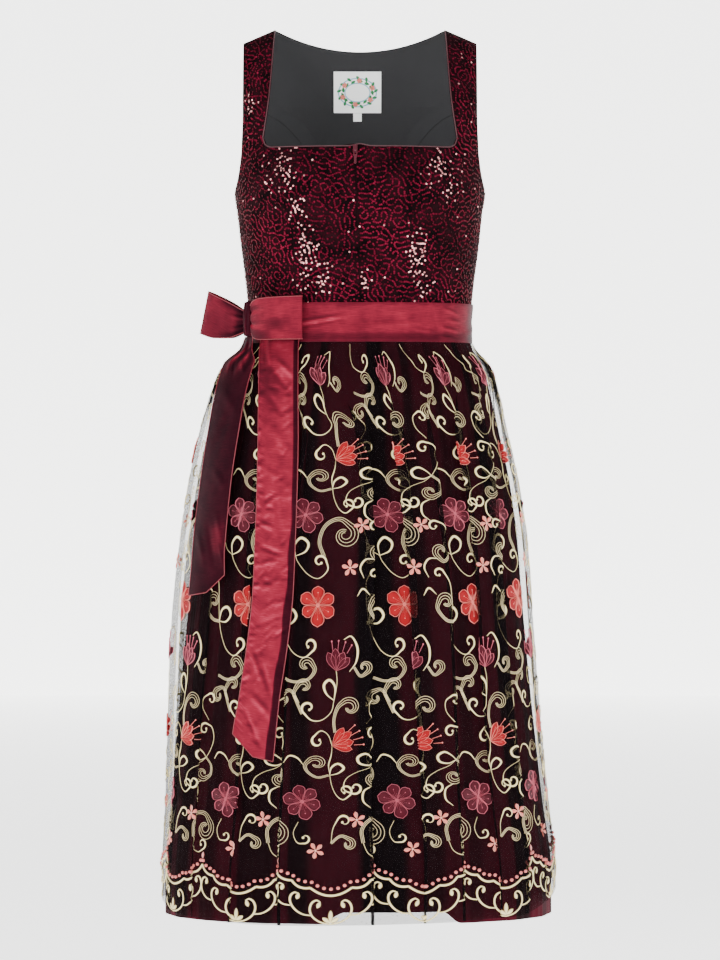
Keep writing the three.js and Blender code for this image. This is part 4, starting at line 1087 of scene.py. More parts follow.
# %% Stitches on flat cloth
class Stitches:
    """Flat drawings of one thread: points as x, y and height, with faces and a place across and along."""

    def __init__(self):
        self.points, self.faces, self.uv, self.high, self.count = [], [], [], [], 0

    def add(self, points, faces, uv):
        self.points.append(np.asarray(points, float))
        self.high += [float(self.points[-1][:, 1].mean())] * len(faces)
        self.faces += [tuple(int(i) + self.count for i in face) for face in faces]
        self.uv.append(np.asarray(uv, float))
        self.count += len(points)

    def ribbon(self, line, width, height, closed=False):
        """A domed ribbon along a flat line."""
        line = np.asarray(line, float)
        width = np.broadcast_to(np.asarray(width, float), (len(line),))
        if closed:
            ahead = unit(np.roll(line, -1, axis=0) - np.roll(line, 1, axis=0))
        else:
            ahead = unit(np.gradient(line, axis=0))
        side = np.stack([-ahead[:, 1], ahead[:, 0]], axis=1) * width[:, None] / 2
        along = reach_along(line) * MM
        flat = np.zeros((len(line), 1))
        high = np.full((len(line), 1), height) * np.minimum(1, width / max(width.max(), 0.01) + 0.3)[:, None]
        rows = [np.hstack([line + side, flat]), np.hstack([line, high]), np.hstack([line - side, flat])]
        points = np.stack(rows, axis=1).reshape(-1, 3)
        uv = np.stack([np.tile([0, 0.5, 1], len(line)), np.repeat(along, 3)], axis=1)
        faces = [tuple(face) for face in grid_faces(len(line), 3)]
        if closed:
            last = (len(line) - 1) * 3
            faces += [(last + i, i, i + 1, last + i + 1) for i in (0, 1)]
        self.add(points, faces, uv)

    def petal(self, place, turn, long, wide, height, full=1.25):
        """A filled leaf or petal from its place outwards; returns its outline."""
        t = np.linspace(0.0, 1.0, 9)
        half = wide / 2 * np.maximum(np.sin(np.pi * t**full), 0) ** 0.72
        s = np.linspace(-1, 1, 5)
        x = half[:, None] * s[None, :]
        y = np.broadcast_to((t * long)[:, None], x.shape)
        dome = height * (1 - s[None, :] ** 2) * np.sin(np.pi * np.clip(t, 0.06, 0.94))[:, None]
        c, n = math.cos(turn), math.sin(turn)
        points = np.stack([place[0] + c * x - n * y, place[1] + n * x + c * y, dome], axis=-1).reshape(-1, 3)
        uv = np.stack([np.broadcast_to(s / 2 + 0.5, x.shape), y * MM], axis=-1).reshape(-1, 2)
        self.add(points, [tuple(face[::-1]) for face in grid_faces(len(t), len(s))], uv)
        edge_x = np.concatenate([half, -half[-2:0:-1]])
        edge_y = np.concatenate([t, t[-2:0:-1]]) * long
        return np.stack([place[0] + c * edge_x - n * edge_y, place[1] + n * edge_x + c * edge_y], axis=1)

    def dot(self, place, radius, height=1.2):
        """A small round stitch."""
        self.petal((place[0], place[1] - radius), 0, 2 * radius, 2 * radius, height, full=1.0)


LINE_STEP = 2.2
CURL_STEPS = 22


def up_at(angle):
    """Unit vector that points up at angle 0 and turns to the left from there."""
    return np.array([-math.sin(angle), math.cos(angle)])


def right_at(angle):
    """Unit vector that points right at angle 0 and turns to the left from there."""
    return np.array([math.cos(angle), math.sin(angle)])


def smooth_line(points):
    """A smooth line through a few flat points."""
    points = np.asarray(points, float)
    fine = np.stack([through(points[:, 0], 12), through(points[:, 1], 12)], axis=1)
    along = reach_along(fine)
    even = np.linspace(0, along[-1], max(4, int(along[-1] / LINE_STEP) + 1))
    return np.stack([np.interp(even, along, fine[:, 0]), np.interp(even, along, fine[:, 1])], axis=1)


def curl(line, radius, turns, side):
    """The line carried on into a spiral to its left (side 1) or right (side -1)."""
    ahead = line[-1] - line[-2]
    heading = math.atan2(ahead[1], ahead[0])
    extra = [line[-1]]
    steps = int(turns * CURL_STEPS)
    for i in range(steps):
        r = radius * (1 - 0.68 * i / steps)
        heading += side * 2 * math.pi / CURL_STEPS
        extra.append(extra[-1] + 2 * math.pi * r / CURL_STEPS * right_at(heading))
    return np.concatenate([line, extra[1:]])


# %% Drawing a scroll
def swell(line, wide, thin=0.3, curled=0.0):
    """Width along a scroll: thin at its ends, widest in the middle or where its curl begins."""
    t = np.linspace(0, 1, len(line))
    if curled:
        return wide * (thin + (1 - thin) * hump(t - (1 - curled), 0.1, 0.2))
    return wide * (thin + (1 - thin) * np.sin(np.pi * np.clip(t * 0.94 + 0.04, 0, 1)) ** 1.6)


def offset_line(line, distance):
    """The line moved to its left by a distance that may vary along it."""
    ahead = unit(np.gradient(line, axis=0))
    return line + np.stack([-ahead[:, 1], ahead[:, 0]], axis=1) * np.asarray(distance)[:, None]


def satin_scroll(stitches, points, end=None, start=None, wide=2.6):
    """A scroll of satin stitch; end and start are (radius, turns, side) of a curl that closes in a dot."""
    line = smooth_line(points)
    plain = len(line)
    if start:
        line = curl(line[::-1], *start)
    elif end:
        line = curl(line, *end)
    curled = 1 - plain / len(line)
    stitches.ribbon(line, swell(line, wide, thin=0.24, curled=curled), 0.8)
    if curled:
        stitches.dot(line[-1], 1.55)


def line_scroll(stitches, points, end, wide):
    """A scroll of running stitch: three thin lines side by side, close at both ends."""
    line = smooth_line(points)
    plain = len(line)
    radius, turns, side = end
    line = curl(line, radius, 0.78 * turns, side)
    room = swell(line, wide, 0.36, curled=1 - plain / len(line))
    for share in (-0.5, 0.0, 0.5):
        stitches.ribbon(offset_line(line, share * room), 0.62, 0.35)


# %% One repeat of the embroidery: threads
REPEAT = 115.0
REPEAT_HIGH = 322.0
ivory, beige = Stitches(), Stitches()
coral, coral_edge, dusty, dusty_edge = Stitches(), Stitches(), Stitches(), Stitches()
pink, pink_edge = Stitches(), Stitches()


# %% Flowers and tulips
def flower(fill, edge, place, radius, turn=0.0):
    """Six filled petals with an outline, veins that end in a knot, and a stitched eye."""
    place = np.array(place, float)
    for i in range(6):
        angle = turn + i * math.pi / 3 + 0.05 * math.sin(i * 3.1)
        size = radius * (1 + 0.07 * math.sin(i * 2.4))
        outline = fill.petal(place, angle, size, size * 0.66, 0.9, full=1.9)
        edge.ribbon(outline, 0.7, 1.3, closed=True)
        ahead, side = up_at(angle), right_at(angle)
        for lean, reach in ((-0.11, 0.42), (0.0, 0.64), (0.11, 0.42)):
            tip = place + ahead * size * reach + side * size * lean
            line = place + (tip - place) * np.linspace(0.3, 1, 5)[:, None]
            edge.ribbon(line, 0.36, 1.25)
        edge.dot(place + ahead * size * 0.66, 0.8, 1.7)
    for i in range(6):
        angle = i * math.pi / 3 + 0.5 + turn
        edge.dot(place + 1.5 * right_at(angle), 0.95, 1.7)


def tulip(fill, edge, place, turn, long=27):
    """A tulip of four petals with stamens, from its foot outwards."""
    place = np.array(place, float)
    for lean, wide, share in ((0.62, 8.5, 0.8), (-0.6, 8.5, 0.88), (-0.22, 9, 0.95), (0.22, 9, 0.86)):
        edge.ribbon(fill.petal(place, turn - lean, long * share, wide, 1.0, full=1.5), 0.6, 1.35, closed=True)
        ahead = up_at(turn - lean)
        line = place + ahead * long * share * np.linspace(0.2, 0.75, 6)[:, None]
        edge.ribbon(line, 0.6, 1.3)
    for lean in (-0.34, -0.1, 0.14, 0.38):
        ahead = up_at(turn - lean)
        line = place + ahead * long * np.linspace(0.86, 1.22, 5)[:, None]
        edge.ribbon(line, 0.6, 0.7)
        edge.dot(place + ahead * long * 1.24, 1.0)


def small_flower(place, turn):
    """Five small petals, each with half an outline, round one knot."""
    place = np.array(place, float)
    for i in range(5):
        angle = turn + i * 2 * math.pi / 5
        foot = place + 0.8 * up_at(angle)
        outline = pink.petal(foot, angle, 8.2, 4.2, 1.1, full=1.6)
        pink_edge.ribbon(outline[:9], 0.6, 1.0)
    pink_edge.dot(place, 1.2, 1.6)


flower(dusty, dusty_edge, (0, 139), 20, 0.25)
flower(coral, coral_edge, (14, 363), 20, 0.0)
tulip(coral, coral_edge, (32, 214), -1.15)
tulip(dusty, dusty_edge, (36, 298), -0.15, long=25)
for place, turn in (((57, 118), 0.2), ((14, 84), 0.5), ((48, 402), 0.1), ((61, 449), 0.45)):
    small_flower(place, turn)

# %% Scrolls of satin stitch
SATIN_SCROLLS = [
    # points, curl at the end, curl at the start, width
    ([(29, 173), (31, 158), (36, 146), (43, 141), (50, 146)], (7.2, 0.88, 1), None, 2.6),
    ([(29, 173), (31, 184), (38, 190), (44, 183), (38, 175), (29, 172)], None, None, 3.4),
    ([(1, 189), (-5, 199), (-14, 202), (-20, 192)], None, None, 2.4),
    ([(29, 174), (28, 188), (31, 203), (32, 214)], None, None, 1.5),
    ([(32, 214), (28, 226), (20, 231), (12, 224)], (6.6, 0.80, 1), None, 3.0),
    ([(34, 265), (26, 272), (23, 282), (29, 288), (35, 280), (34, 265)], None, None, 3.2),
    ([(36, 298), (37, 284), (34, 265), (31, 252), (21, 243), (10, 243), (1, 252)],
     (7.2, 0.84, -1), None, 3.0),
    ([(-34, 268), (-42, 262), (-42, 250), (-33, 238)], None, (6.6, 0.84, -1), 2.8),
    ([(-37, 234), (-27, 230), (-23, 218), (-28, 204), (-35, 192)], None, (6.6, 0.88, 1), 2.8),
    ([(-35, 192), (-44, 187), (-54, 190), (-56, 199), (-48, 204), (-40, 199), (-35, 192)], None, None, 3.4),
    ([(-36, 191), (-44, 183), (-58, 176), (-69, 166), (-71, 153), (-62, 148)], (7.2, 0.84, 1), None, 2.8),
    ([(-40, 157), (-50, 151), (-51, 139), (-43, 131)], None, None, 2.4),
    ([(22, 411), (24, 400), (14, 391), (2, 396), (-8, 408), (-11, 415)], None, (6.6, 0.88, 1), 2.8),
    ([(-11, 415), (-12, 427), (-5, 435), (3, 429), (0, 420), (-11, 415)], None, None, 3.2),
    ([(-11, 415), (-19, 421), (-24, 434), (-29, 448), (-38, 453)], (6.0, 0.84, 1), None, 2.6),
    ([(-40, 411), (-50, 411), (-56, 402), (-52, 391)], None, None, 2.3),
    ([(-36, 398), (-29, 384), (-27, 362), (-25, 345)], None, (5.5, 0.80, 1), 2.6),
    ([(-59, 372), (-53, 380), (-45, 373)], None, None, 2.2),
    ([(-25, 345), (-22, 356), (-14, 359), (-9, 352), (-15, 345), (-25, 345)], None, None, 3.2),
    ([(-25, 345), (-20, 331), (-11, 318), (1, 313), (11, 320)], (6.6, 0.84, 1), None, 2.8),
    ([(-72, 330), (-64, 333), (-57, 322), (-58, 308), (-65, 297)], None, None, 2.6),
    ([(30, 92), (32, 108), (38, 120)], (6.6, 0.88, -1), None, 2.6),
    ([(-52, 92), (-47, 80), (-36, 75), (-27, 80)], (6.0, 0.84, 1), None, 2.6),
    ([(-4, 116), (-9, 104), (-5, 93), (3, 92)], (5.4, 0.76, 1), None, 2.3),
]
for points, end, start, wide in SATIN_SCROLLS:
    satin_scroll(ivory, points, end, start, wide)

# %% Scrolls of running stitch
LINE_SCROLLS = [
    # points, curl at the end, width
    ([(28, 172), (16, 169), (6, 177), (3, 188), (8, 196)], (8.8, 1.16, -1), 6.2),
    ([(35, 229), (34, 243), (38, 257), (45, 264)], (8.8, 1.16, -1), 6.2),
    ([(0, 250), (-6, 264), (-9, 274), (-4, 284)], (6.5, 1.04, -1), 5.8),
    ([(-4, 262), (-12, 276), (-22, 274)], (7.0, 1.16, 1), 5.8),
    ([(-35, 192), (-26, 181), (-26, 167), (-35, 160)], (7.8, 1.21, -1), 6.2),
    ([(20, 414), (15, 431), (22, 449), (37, 456), (50, 447)], (11.5, 1.26, -1), 8.0),
    ([(-24, 433), (-24, 420), (-33, 408), (-41, 414)], (6.8, 0.99, -1), 5.8),
    ([(-25, 345), (-36, 347), (-45, 358), (-42, 368)], (7.3, 1.16, -1), 6.0),
    ([(-21, 290), (-8, 286), (6, 289), (13, 299), (9, 308)], (6.2, 1.04, 1), 6.0),
    ([(-60, 302), (-53, 292), (-45, 297)], (6.2, 1.10, 1), 5.2),
    ([(-52, 92), (-53, 107), (-44, 118), (-30, 119), (-20, 110)], (10.8, 1.32, -1), 8.0),
    ([(30, 92), (40, 100), (50, 96)], (5.7, 1.10, -1), 5.2),
]
for points, end, wide in LINE_SCROLLS:
    line_scroll(beige, points, end, wide)

# %% The scalloped border
border_ivory, border_pink = Stitches(), Stitches()
LOBE_MIDDLE = 30
LOBE_NODES = [(-57.5, 62), (-40, 51), (-21, 42.5), (21, 42.5), (40, 51), (57.5, 62)]
LOBE_BULGE = [3.4, 3.6, 9, 3.6, 3.4]


def arc_between(a, b, bulge, count=11):
    """An arc from a to b that hangs below the straight line."""
    a, b = np.array(a, float), np.array(b, float)
    t = np.linspace(0, 1, count)[:, None]
    across = (b - a) / np.linalg.norm(b - a)
    below = np.array([across[1], -across[0]])
    return a + (b - a) * t + below * (bulge * 4 * t * (1 - t))


lobe = []
for a, b, bulge in zip(LOBE_NODES, LOBE_NODES[1:], LOBE_BULGE):
    arc = arc_between(a, b, bulge, 19 if bulge > 5 else 11) + np.array([LOBE_MIDDLE, 0])
    border_ivory.ribbon(arc, 2.7, 1.3)
    lobe.append(arc)
lobe = np.concatenate(lobe)
BORDER_SCROLLS = [
    # one half of the border below a lobe, from the lobe's middle: points, turn and length of the leaf
    ([(0, 1.5), (10, 4), (18, 10), (21, 18), (19, 25.5), (14, 28.5), (10.5, 26)], -2.75, 8),
    ([(20, 11.5), (28, 13), (35.5, 18), (40.5, 25.5), (41, 33), (37, 37.5), (32.5, 36)], -2.9, 7.5),
    ([(41, 23), (49, 25), (55, 31), (57.3, 38), (56, 45), (52.5, 48), (48.5, 46)], -2.9, 7),
]
for side in (-1, 1):
    for points, turn, long in BORDER_SCROLLS:
        line = smooth_line([(LOBE_MIDDLE + side * x, y) for x, y in points])
        width = np.interp(np.linspace(0, 1, len(line)), [0, 0.4, 0.8, 1], [1.5, 2.3, 2.6, 1.4])
        border_ivory.ribbon(line, width, 0.9)
        border_ivory.petal(line[-1] + np.array([0, 1.0]), side * turn, long, 4.8, 1.2, full=1.2)
for angle, long in ((-0.95, 10), (0.0, 14), (0.95, 10)):
    border_ivory.petal((LOBE_MIDDLE, 3), angle, long, 5, 1.2, full=1.2)

# %% Beads along the border
BEAD_STEP = 7.0
bead_line = lobe + np.array([0, 7.4])
bead_reach = reach_along(bead_line)
bead_count = int(bead_reach[-1] / BEAD_STEP)
bead_at = (np.arange(bead_count) + 0.5) * bead_reach[-1] / bead_count
bead_places = np.stack([np.interp(bead_at, bead_reach, bead_line[:, i]) for i in (0, 1)], axis=1)
bpy.ops.mesh.primitive_ico_sphere_add(subdivisions=1, radius=2.2)
round_bead = bpy.context.object
bead_points = np.array([v.co[:] for v in round_bead.data.vertices]) * np.array([1, 1, 0.8])
bead_faces = [tuple(p.vertices) for p in round_bead.data.polygons]
bpy.data.objects.remove(round_bead)
for place in bead_places:
    points = bead_points + np.array([place[0], place[1], 0.9])
    border_pink.add(points, bead_faces, np.zeros((len(points), 2)))
border_pink.petal((LOBE_MIDDLE - 57.5, 68), 0, 8, 3.4, 1.6)
print("beads in one lobe:", bead_count)


# %% [markdown]
# ## Threads of the embroidery
# Satin stitch is laid across the drawn line, so its fine ridges run across it, and its sides are painted
# darker as shade. Rayon thread has a soft gloss. Petals are filled with long stitches and bordered in a
# lighter thread.

# %% Thread finishes
def thread(name, base, side_painted_shade, roughness=0.5):
    """Rayon embroidery thread with ridges about 0.35 millimetres apart, and painted shade at the sides of
    each stitch.
    """
    made = finish(name, {"Roughness": roughness, "Specular IOR Level": 0.2})
    where = node(made, "UVMap", {})
    split = node(made, "SeparateXYZ", {"Vector": where.outputs["UV"]})
    off_middle = node(made, "Math", {0: split.outputs["X"], 1: 0.5}, operation="SUBTRACT")
    distance = node(made, "Math", {0: off_middle.outputs[0]}, operation="ABSOLUTE")
    side = node(made, "MapRange", {"Value": distance.outputs[0], "From Min": 0.26, "From Max": 0.5})
    ridges = node(made, "TexWave", {"Vector": where.outputs["UV"], "Scale": 900, "Distortion": 0.6},
                  bands_direction="Y")
    set_shader(made, {
        "Base Color": shade_between(made, side.outputs["Result"], base, side_painted_shade),
        "Normal": bump_from(made, ridges.outputs["Fac"], 0.0004, 0.7),
    })
    return made


# The second colour of each thread is painted shade at the sides of its stitches; beads, with no place across
# them, take it all over.
ivory_thread = thread("ivory_rayon_satin_stitch", "#fff0b4", "#8a6426")
beige_thread = thread("beige_rayon_running_stitch", "#f4e2b0", "#7c6236")
coral_thread = thread("coral_rayon_fill_stitch", "#9c0e18", "#700810")
coral_light = thread("pale_coral_outline_stitch", "#ff9488", "#d84840")
dusty_thread = thread("old_rose_fill_stitch", "#4a0a1a", "#320611")
dusty_light = thread("rose_outline_stitch", "#d87080", "#903040")
pink_thread = thread("pale_pink_fill_stitch", "#f08878", "#c85850")
pink_light = thread("shell_pink_outline_stitch", "#ffc4b4", "#e88878")
bead_pink = thread("pink_bead_stitch", "#f4a8a0", "#cc706a", 0.35)


# %% Sewing the embroidery onto the net
# The shapes below this height fill the room over the border and aren't repeated further up.
LOWEST_ROW = 124
# The rows of tulips hang a little lower between the rows of open flowers.
settle = curve([0, 124, 155, 214, 305, 363, 440, 470], [0, 0, 1, 13, 13, 4, 0, 0])


def sew(name, stitches, material, copies, lift=0.35, carry=on_net):
    """Makes one piece of a thread's stitches, with a copy of them at each of the given places."""
    flat = np.concatenate(stitches.points)
    faces = np.array([f if len(f) == 4 else (*f, f[-1]) for f in stitches.faces])
    uv = np.concatenate(stitches.uv)
    high = np.array(stitches.high)
    points, all_faces, all_uv, total = [], [], [], 0
    for dx, dy in copies:
        made = carry(flat[:, 0] + dx, flat[:, 1] - settle(flat[:, 1]) + dy, flat[:, 2] + lift)
        good = ~np.isnan(made[:, 0])
        keep = good[faces].all(axis=1) & ((dy == 0) | (high > LOWEST_ROW))
        if not keep.any():
            continue
        index = np.cumsum(good) - 1 + total
        points.append(made[good])
        all_uv.append(uv[good])
        all_faces += [tuple(dict.fromkeys(f)) for f in index[faces[keep]].tolist()]
        total += int(good.sum())
    piece(name, np.concatenate(points), all_faces, [material], np.concatenate(all_uv), angle=75)


tiles = [(i * REPEAT, j * REPEAT_HIGH) for i in range(-7, 8) for j in (0, 1)]
for name, stitches, material in (
    ("satin_scrolls", ivory, ivory_thread), ("running_scrolls", beige, beige_thread),
    ("coral_flowers", coral, coral_thread), ("coral_outlines", coral_edge, coral_light),
    ("rose_flowers", dusty, dusty_thread), ("rose_outlines", dusty_edge, dusty_light),
    ("small_flowers", pink, pink_thread), ("small_flower_outlines", pink_edge, pink_light),
):
    sew(name, stitches, material, tiles)
border_tiles = [(i * REPEAT, 0) for i in range(-7, 8)]
sew("border_scrolls", border_ivory, ivory_thread, border_tiles)
sew("border_beads", border_pink, bead_pink, border_tiles, lift=0.4)

# %% A plain wreath on the label
green_thread = thread("green_label_weft", "#2f8a50", "#1c5a34")
blue_thread = thread("pale_blue_label_weft", "#8cc4d8", "#5c98b0")


def on_label(x, y, lift):
    """Carries flat places, measured from the label's middle, onto the label inside the back neck."""
    drop = 66 - y
    return bodice_point(180 - turn_at(x - 3, half_at(drop)), drop, 4.5 + lift)


OVAL = np.array([19, 14])
leaves, rings, blossoms = Stitches(), Stitches(), Stitches()
for i in range(26):
    angle = i * 2 * math.pi / 26
    leaves.petal(OVAL * right_at(angle), angle + (0.5 if i % 2 else -0.9), 6.5, 3.4, 0.3)
for i in range(6):
    angle = i * math.pi / 3 + 0.4
    for k in range(5):
        blossoms.petal(OVAL * right_at(angle), angle + k * 1.257, 3.6, 2.6, 0.55)
ring_angles = np.linspace(0, 2 * math.pi, 48, endpoint=False)
for share in (0.78, 1.18):
    line = OVAL * share * np.stack([np.cos(ring_angles), np.sin(ring_angles)], axis=1)
    rings.ribbon(line, 1.3, 0.2, closed=True)
for name, stitches, material in (
    ("label_leaves", leaves, green_thread), ("label_blossoms", blossoms, pink_thread),
    ("label_rings", rings, blue_thread),
):
    sew(name, stitches, material, [(0, 0)], lift=0.15, carry=on_label)

# %% Seams of the lining
seam_thread = finish("black_cotton_seam", {"Base Color": colour("#0e0e10"), "Roughness": 0.9})
drops = np.linspace(90, 330, 60)
for side, word in SIDES:
    turns = side * (180 - turn_at(back_seam(drops), half_at(drops)))
    tube(f"lining_seam_{word}", bodice_point(turns, drops, 2.8), 0.45, [seam_thread], sides=6)

# %% [markdown]
# ## Sash, bow and tails
# The band is a strip of shot taffeta, tied at the side. In such cloth one colour of yarn runs along and
# another across, so it looks rose where it faces the light and nearly black where it turns away. Here
# that is painted: each piece gets a form with its creases, and a value at every point of painted light
# and shade, lighter where it faces the light and darker in creases, at rims and where it turns away.

# %% Shot taffeta
shot_taffeta_painted_light = finish("shot_taffeta_painted_light", {"Roughness": 0.5, "Specular IOR Level": 0.05,
                                        "Specular Tint": colour("#e8607a")})
# The cloth's painted light and shade, read here, runs through the ramp from near black shade to rose
# highlight; slubs and cloudy unevenness shift it at random.
painted_light_value = node(shot_taffeta_painted_light, "Attribute", {}, attribute_name="tone_with_painted_light")
taffeta_place = node(shot_taffeta_painted_light, "UVMap", {})
stretch = node(shot_taffeta_painted_light, "Mapping", {"Vector": taffeta_place.outputs["UV"], "Scale": (70, 1400, 1)})
slub = node(shot_taffeta_painted_light, "TexNoise", {"Vector": stretch.outputs["Vector"], "Scale": 1.0, "Detail": 2})
cloudy = object_noise(shot_taffeta_painted_light, 60, 3)
uneven = node(shot_taffeta_painted_light, "Math", {0: slub.outputs["Fac"], 1: cloudy.outputs["Fac"]}, operation="ADD")
shift = node(shot_taffeta_painted_light, "Math", {0: uneven.outputs[0], 1: 0.36, 2: -0.36}, operation="MULTIPLY_ADD")
painted_light_with_slubs = node(shot_taffeta_painted_light, "Math", {0: painted_light_value.outputs["Fac"], 1: shift.outputs[0]}, operation="ADD")
ramp = node(shot_taffeta_painted_light, "ValToRGB", {"Fac": painted_light_with_slubs.outputs[0]})
ramp.color_ramp.elements[0].color = colour("#14040a")
ramp.color_ramp.elements[1].color = colour("#a03448")
for at, code in ((0.3, "#2c0a13"), (0.62, "#521420"), (0.82, "#771c2c")):
    ramp.color_ramp.elements.new(at).color = colour(code)
set_shader(shot_taffeta_painted_light, {
    "Base Color": ramp.outputs["Color"],
    "Normal": bump_from(shot_taffeta_painted_light, slub.outputs["Fac"], 0.0003),
})
# The rolled hem is oversewn with a red thread.
hem_thread = finish("oversewn_rolled_hem", {"Base Color": colour("#6e0a1c"), "Roughness": 0.5})


def creases(u, v, table):
    """Height of soft folds, each from one place on the cloth to another, in millimetres."""
    height = np.zeros(np.broadcast(u, v).shape)
    for u0, v0, u1, v1, wide, rise in table:
        du, dv = u1 - u0, v1 - v0
        long = math.hypot(du, dv)
        t = ((u - u0) * du + (v - v0) * dv) / long**2
        off = ((u - u0) * dv - (v - v0) * du) / long
        past = (t - np.clip(t, 0, 1)) * long / (1.2 * wide)
        taper = np.sin(np.pi * np.clip(t, 0.04, 0.96)) ** 0.6
        height = height + rise * taper * np.exp(-(past**2) - (off / wide) ** 2)
    return height


def painted_slope_light(height, step):
    """Painted light and shade: lighter where the cloth leans up to the light, darker where it leans down."""
    return -0.5 * np.gradient(height, axis=0) / step


# %% Band
BAND_TOP, BAND_HIGH, BAND_OUT = 319.0, 45.0, 2.7
BAND_CLOTH, BOW_CLOTH, ROLLED_HEM = 1.4, 1.2, 0.55
BAND_CREASES = [
    # from and to, as distance round the waist and down the band, then width and rise
    (-72, 23, -18, 15, 2.4, 1.5), (-72, 28, -24, 19.5, 2.0, -0.9), (-40, 8, 10, 4, 5, 0.5),
    (10, 26, 70, 22, 4, 0.5), (30, 12, 60, 8, 3, 0.4), (60, 30, 96, 35, 2, 0.45),
    (100, 6, 124, 13, 2, 0.9), (98, 28, 126, 33, 2.2, 0.9), (106, 20, 128, 21, 1.8, 0.7),
    (94, 38, 118, 41, 1.6, 0.6),
    (-150, 20, -95, 14, 4, 0.8), (-150, 31, -95, 30, 3, 0.7), (-165, 8, -112, 10, 3, 0.6),
    (190, 10, 260, 16, 5, 0.9), (230, 30, 320, 22, 4, 0.8), (-220, 14, -300, 24, 4.5, 0.9),
    (-330, 34, -250, 30, 3, 0.6), (140, 34, 190, 26, 3, 0.7), (-200, 36, -160, 28, 3, 0.7),
    (290, 8, 335, 10, 3, 0.5),
]
turn = np.linspace(-180, 180, 400, endpoint=False)[None, :]
fall = np.linspace(0, BAND_HIGH, 31)[:, None]
plain = off_ring(waist_ring, turn, BAND_TOP + fall, BAND_OUT)
around = laid_flat(plain)[..., 0] / MM
height = creases(around, fall, BAND_CREASES)
step = 0.5 * smoothstep(fall, 33, 35.5) * (1 - smoothstep(fall, 38, 45))
height = height - step * np.exp(-((around / 150) ** 4))
round_edges = smoothstep(fall, 3, 0) + smoothstep(fall, BAND_HIGH - 3, BAND_HIGH)
height = np.clip(height, -0.6, 1.6) - 0.5 * round_edges
band_grid = off_ring(waist_ring, turn, BAND_TOP + fall, BAND_OUT + height)
# Painted light and shade on the band: lighter and darker along its creases, darker on its lower part and
# towards its sides and back.
band_painted_light = 0.7 + painted_slope_light(height, 1.5) - 0.2 * smoothstep(fall, 31, 36)
band_painted_light = np.minimum(band_painted_light - 0.35 * smoothstep(np.abs(turn), 64, 84), 0.84)
band = wall("sash_band", band_grid, BAND_CLOTH, [shot_taffeta_painted_light], ring=True)
paint_light_and_shade(band, band_painted_light)
cut(band_grid)

# %% Knot
BOW_TURN = -64.0
KNOT_TOP, KNOT_HIGH, KNOT_LIFT = 316, 42, 2.6
KNOT_HALF_WIDE, KNOT_HALF_DEEP = 8.5, 7.5
knot_seat = off_ring(waist_ring, BOW_TURN, WAIST, 0.0)
knot_out = off_ring(waist_ring, BOW_TURN, WAIST, 1.0) - knot_seat
knot_along = np.array([-knot_out[1], knot_out[0], 0.0])
level = np.linspace(0, 1, 43)[:, None]
angle = np.linspace(2 * np.pi, 0, 72, endpoint=False)[None, :]
belly = 0.8 + 0.2 * np.sin(np.pi * level)
roll_in = 1 - 0.75 * (smoothstep(level, 0.05, 0) + smoothstep(level, 0.95, 1))
front_share = np.maximum(0, np.sin(angle)) ** 0.5
pleats = 0.55 * np.cos(7 * angle + 4 * level) + 0.4 * np.cos(11 * angle - 5 * level + 1)
round_knot = belly * roll_in + 0.1 * pleats * front_share
out = BAND_OUT + KNOT_LIFT + KNOT_HALF_DEEP + KNOT_HALF_DEEP * np.sin(angle) * round_knot
aside = KNOT_HALF_WIDE * np.cos(angle) * round_knot
knot_grid = knot_seat + knot_out * out[..., None] + knot_along * aside[..., None]
knot_grid[..., 2] = -(KNOT_TOP + KNOT_HIGH * level)
knot = wall("bow_knot", knot_grid, BOW_CLOTH, [shot_taffeta_painted_light], ring=True)
# Painted highlights on the pleats that face the front, over dark painted shade.
paint_light_and_shade(knot, 0.2 + 0.3 * np.maximum(pleats, 0) ** 2 * front_share)
cut(knot_grid)


# %% Loops
def loop(name, path, top, bottom, tone_with_painted_light, phase, slant=0.0):
    """A flattened loop of the bow along a level path, gathered where it enters the knot."""
    down = np.linspace(0, 1, 37)[:, None]
    angle = np.radians(np.linspace(336, 24, 97))[None, :]
    reach = (1 - np.cos(angle)) / 2
    ahead = unit(path(np.minimum(1, reach + 0.02)) - path(np.maximum(0, reach - 0.02)))
    sideways = np.stack([-ahead[..., 1], ahead[..., 0], np.zeros_like(reach)], axis=-1)
    near = (1 - smoothstep(reach, 0, 0.55)) ** 1.4
    waves = 0.9 * np.cos(2 * np.pi * 2.6 * down + phase) + 0.4 * np.cos(2 * np.pi * 5.1 * down + 2 * phase)
    gather = near * waves
    hollow = -0.8 * np.exp(-(((reach - 0.6) / 0.2) ** 2) - ((down - 0.6) / 0.25) ** 2)
    sine = np.sin(angle)
    puff = 6.5 * sine * lerp(0.62, 1, reach) + np.sign(sine) * hollow * (np.abs(sine) > 0.4)
    grid = path(reach * (1 - slant * (1 - down))) + sideways * (puff + gather)[..., None]
    grid[..., 2] = -lerp(top(reach), bottom(reach), down)
    made = wall(name, grid, BOW_CLOTH, [shot_taffeta_painted_light])
    # Painted light and shade: the loop's own painted values, plus lighter and darker bands along its gathers.
    paint_light_and_shade(made, tone_with_painted_light(reach, down) + painted_slope_light(gather, 1.2) * 0.8)
    cut(grid)
    for end, word in ((0, "upper"), (-1, "lower")):
        tube(f"{name}_{word}_hem", grid[end, ::2], ROLLED_HEM, [hem_thread], sides=6)


def left_path(share):
    start = knot_seat + knot_out * 14 - knot_along * 6.4
    return start + np.array([-54.0, 38.0, 0.0]) * np.asarray(share)[..., None]


RIGHT_START = BOW_TURN + 5.5 / float(reach_per_degree(waist_ring, np.array(BOW_TURN), np.array(WAIST)))
RIGHT_END, RIGHT_OUT = -25.5, 16.5


def right_path(share):
    return off_ring(waist_ring, lerp(RIGHT_START, RIGHT_END, np.asarray(share)), WAIST, RIGHT_OUT)


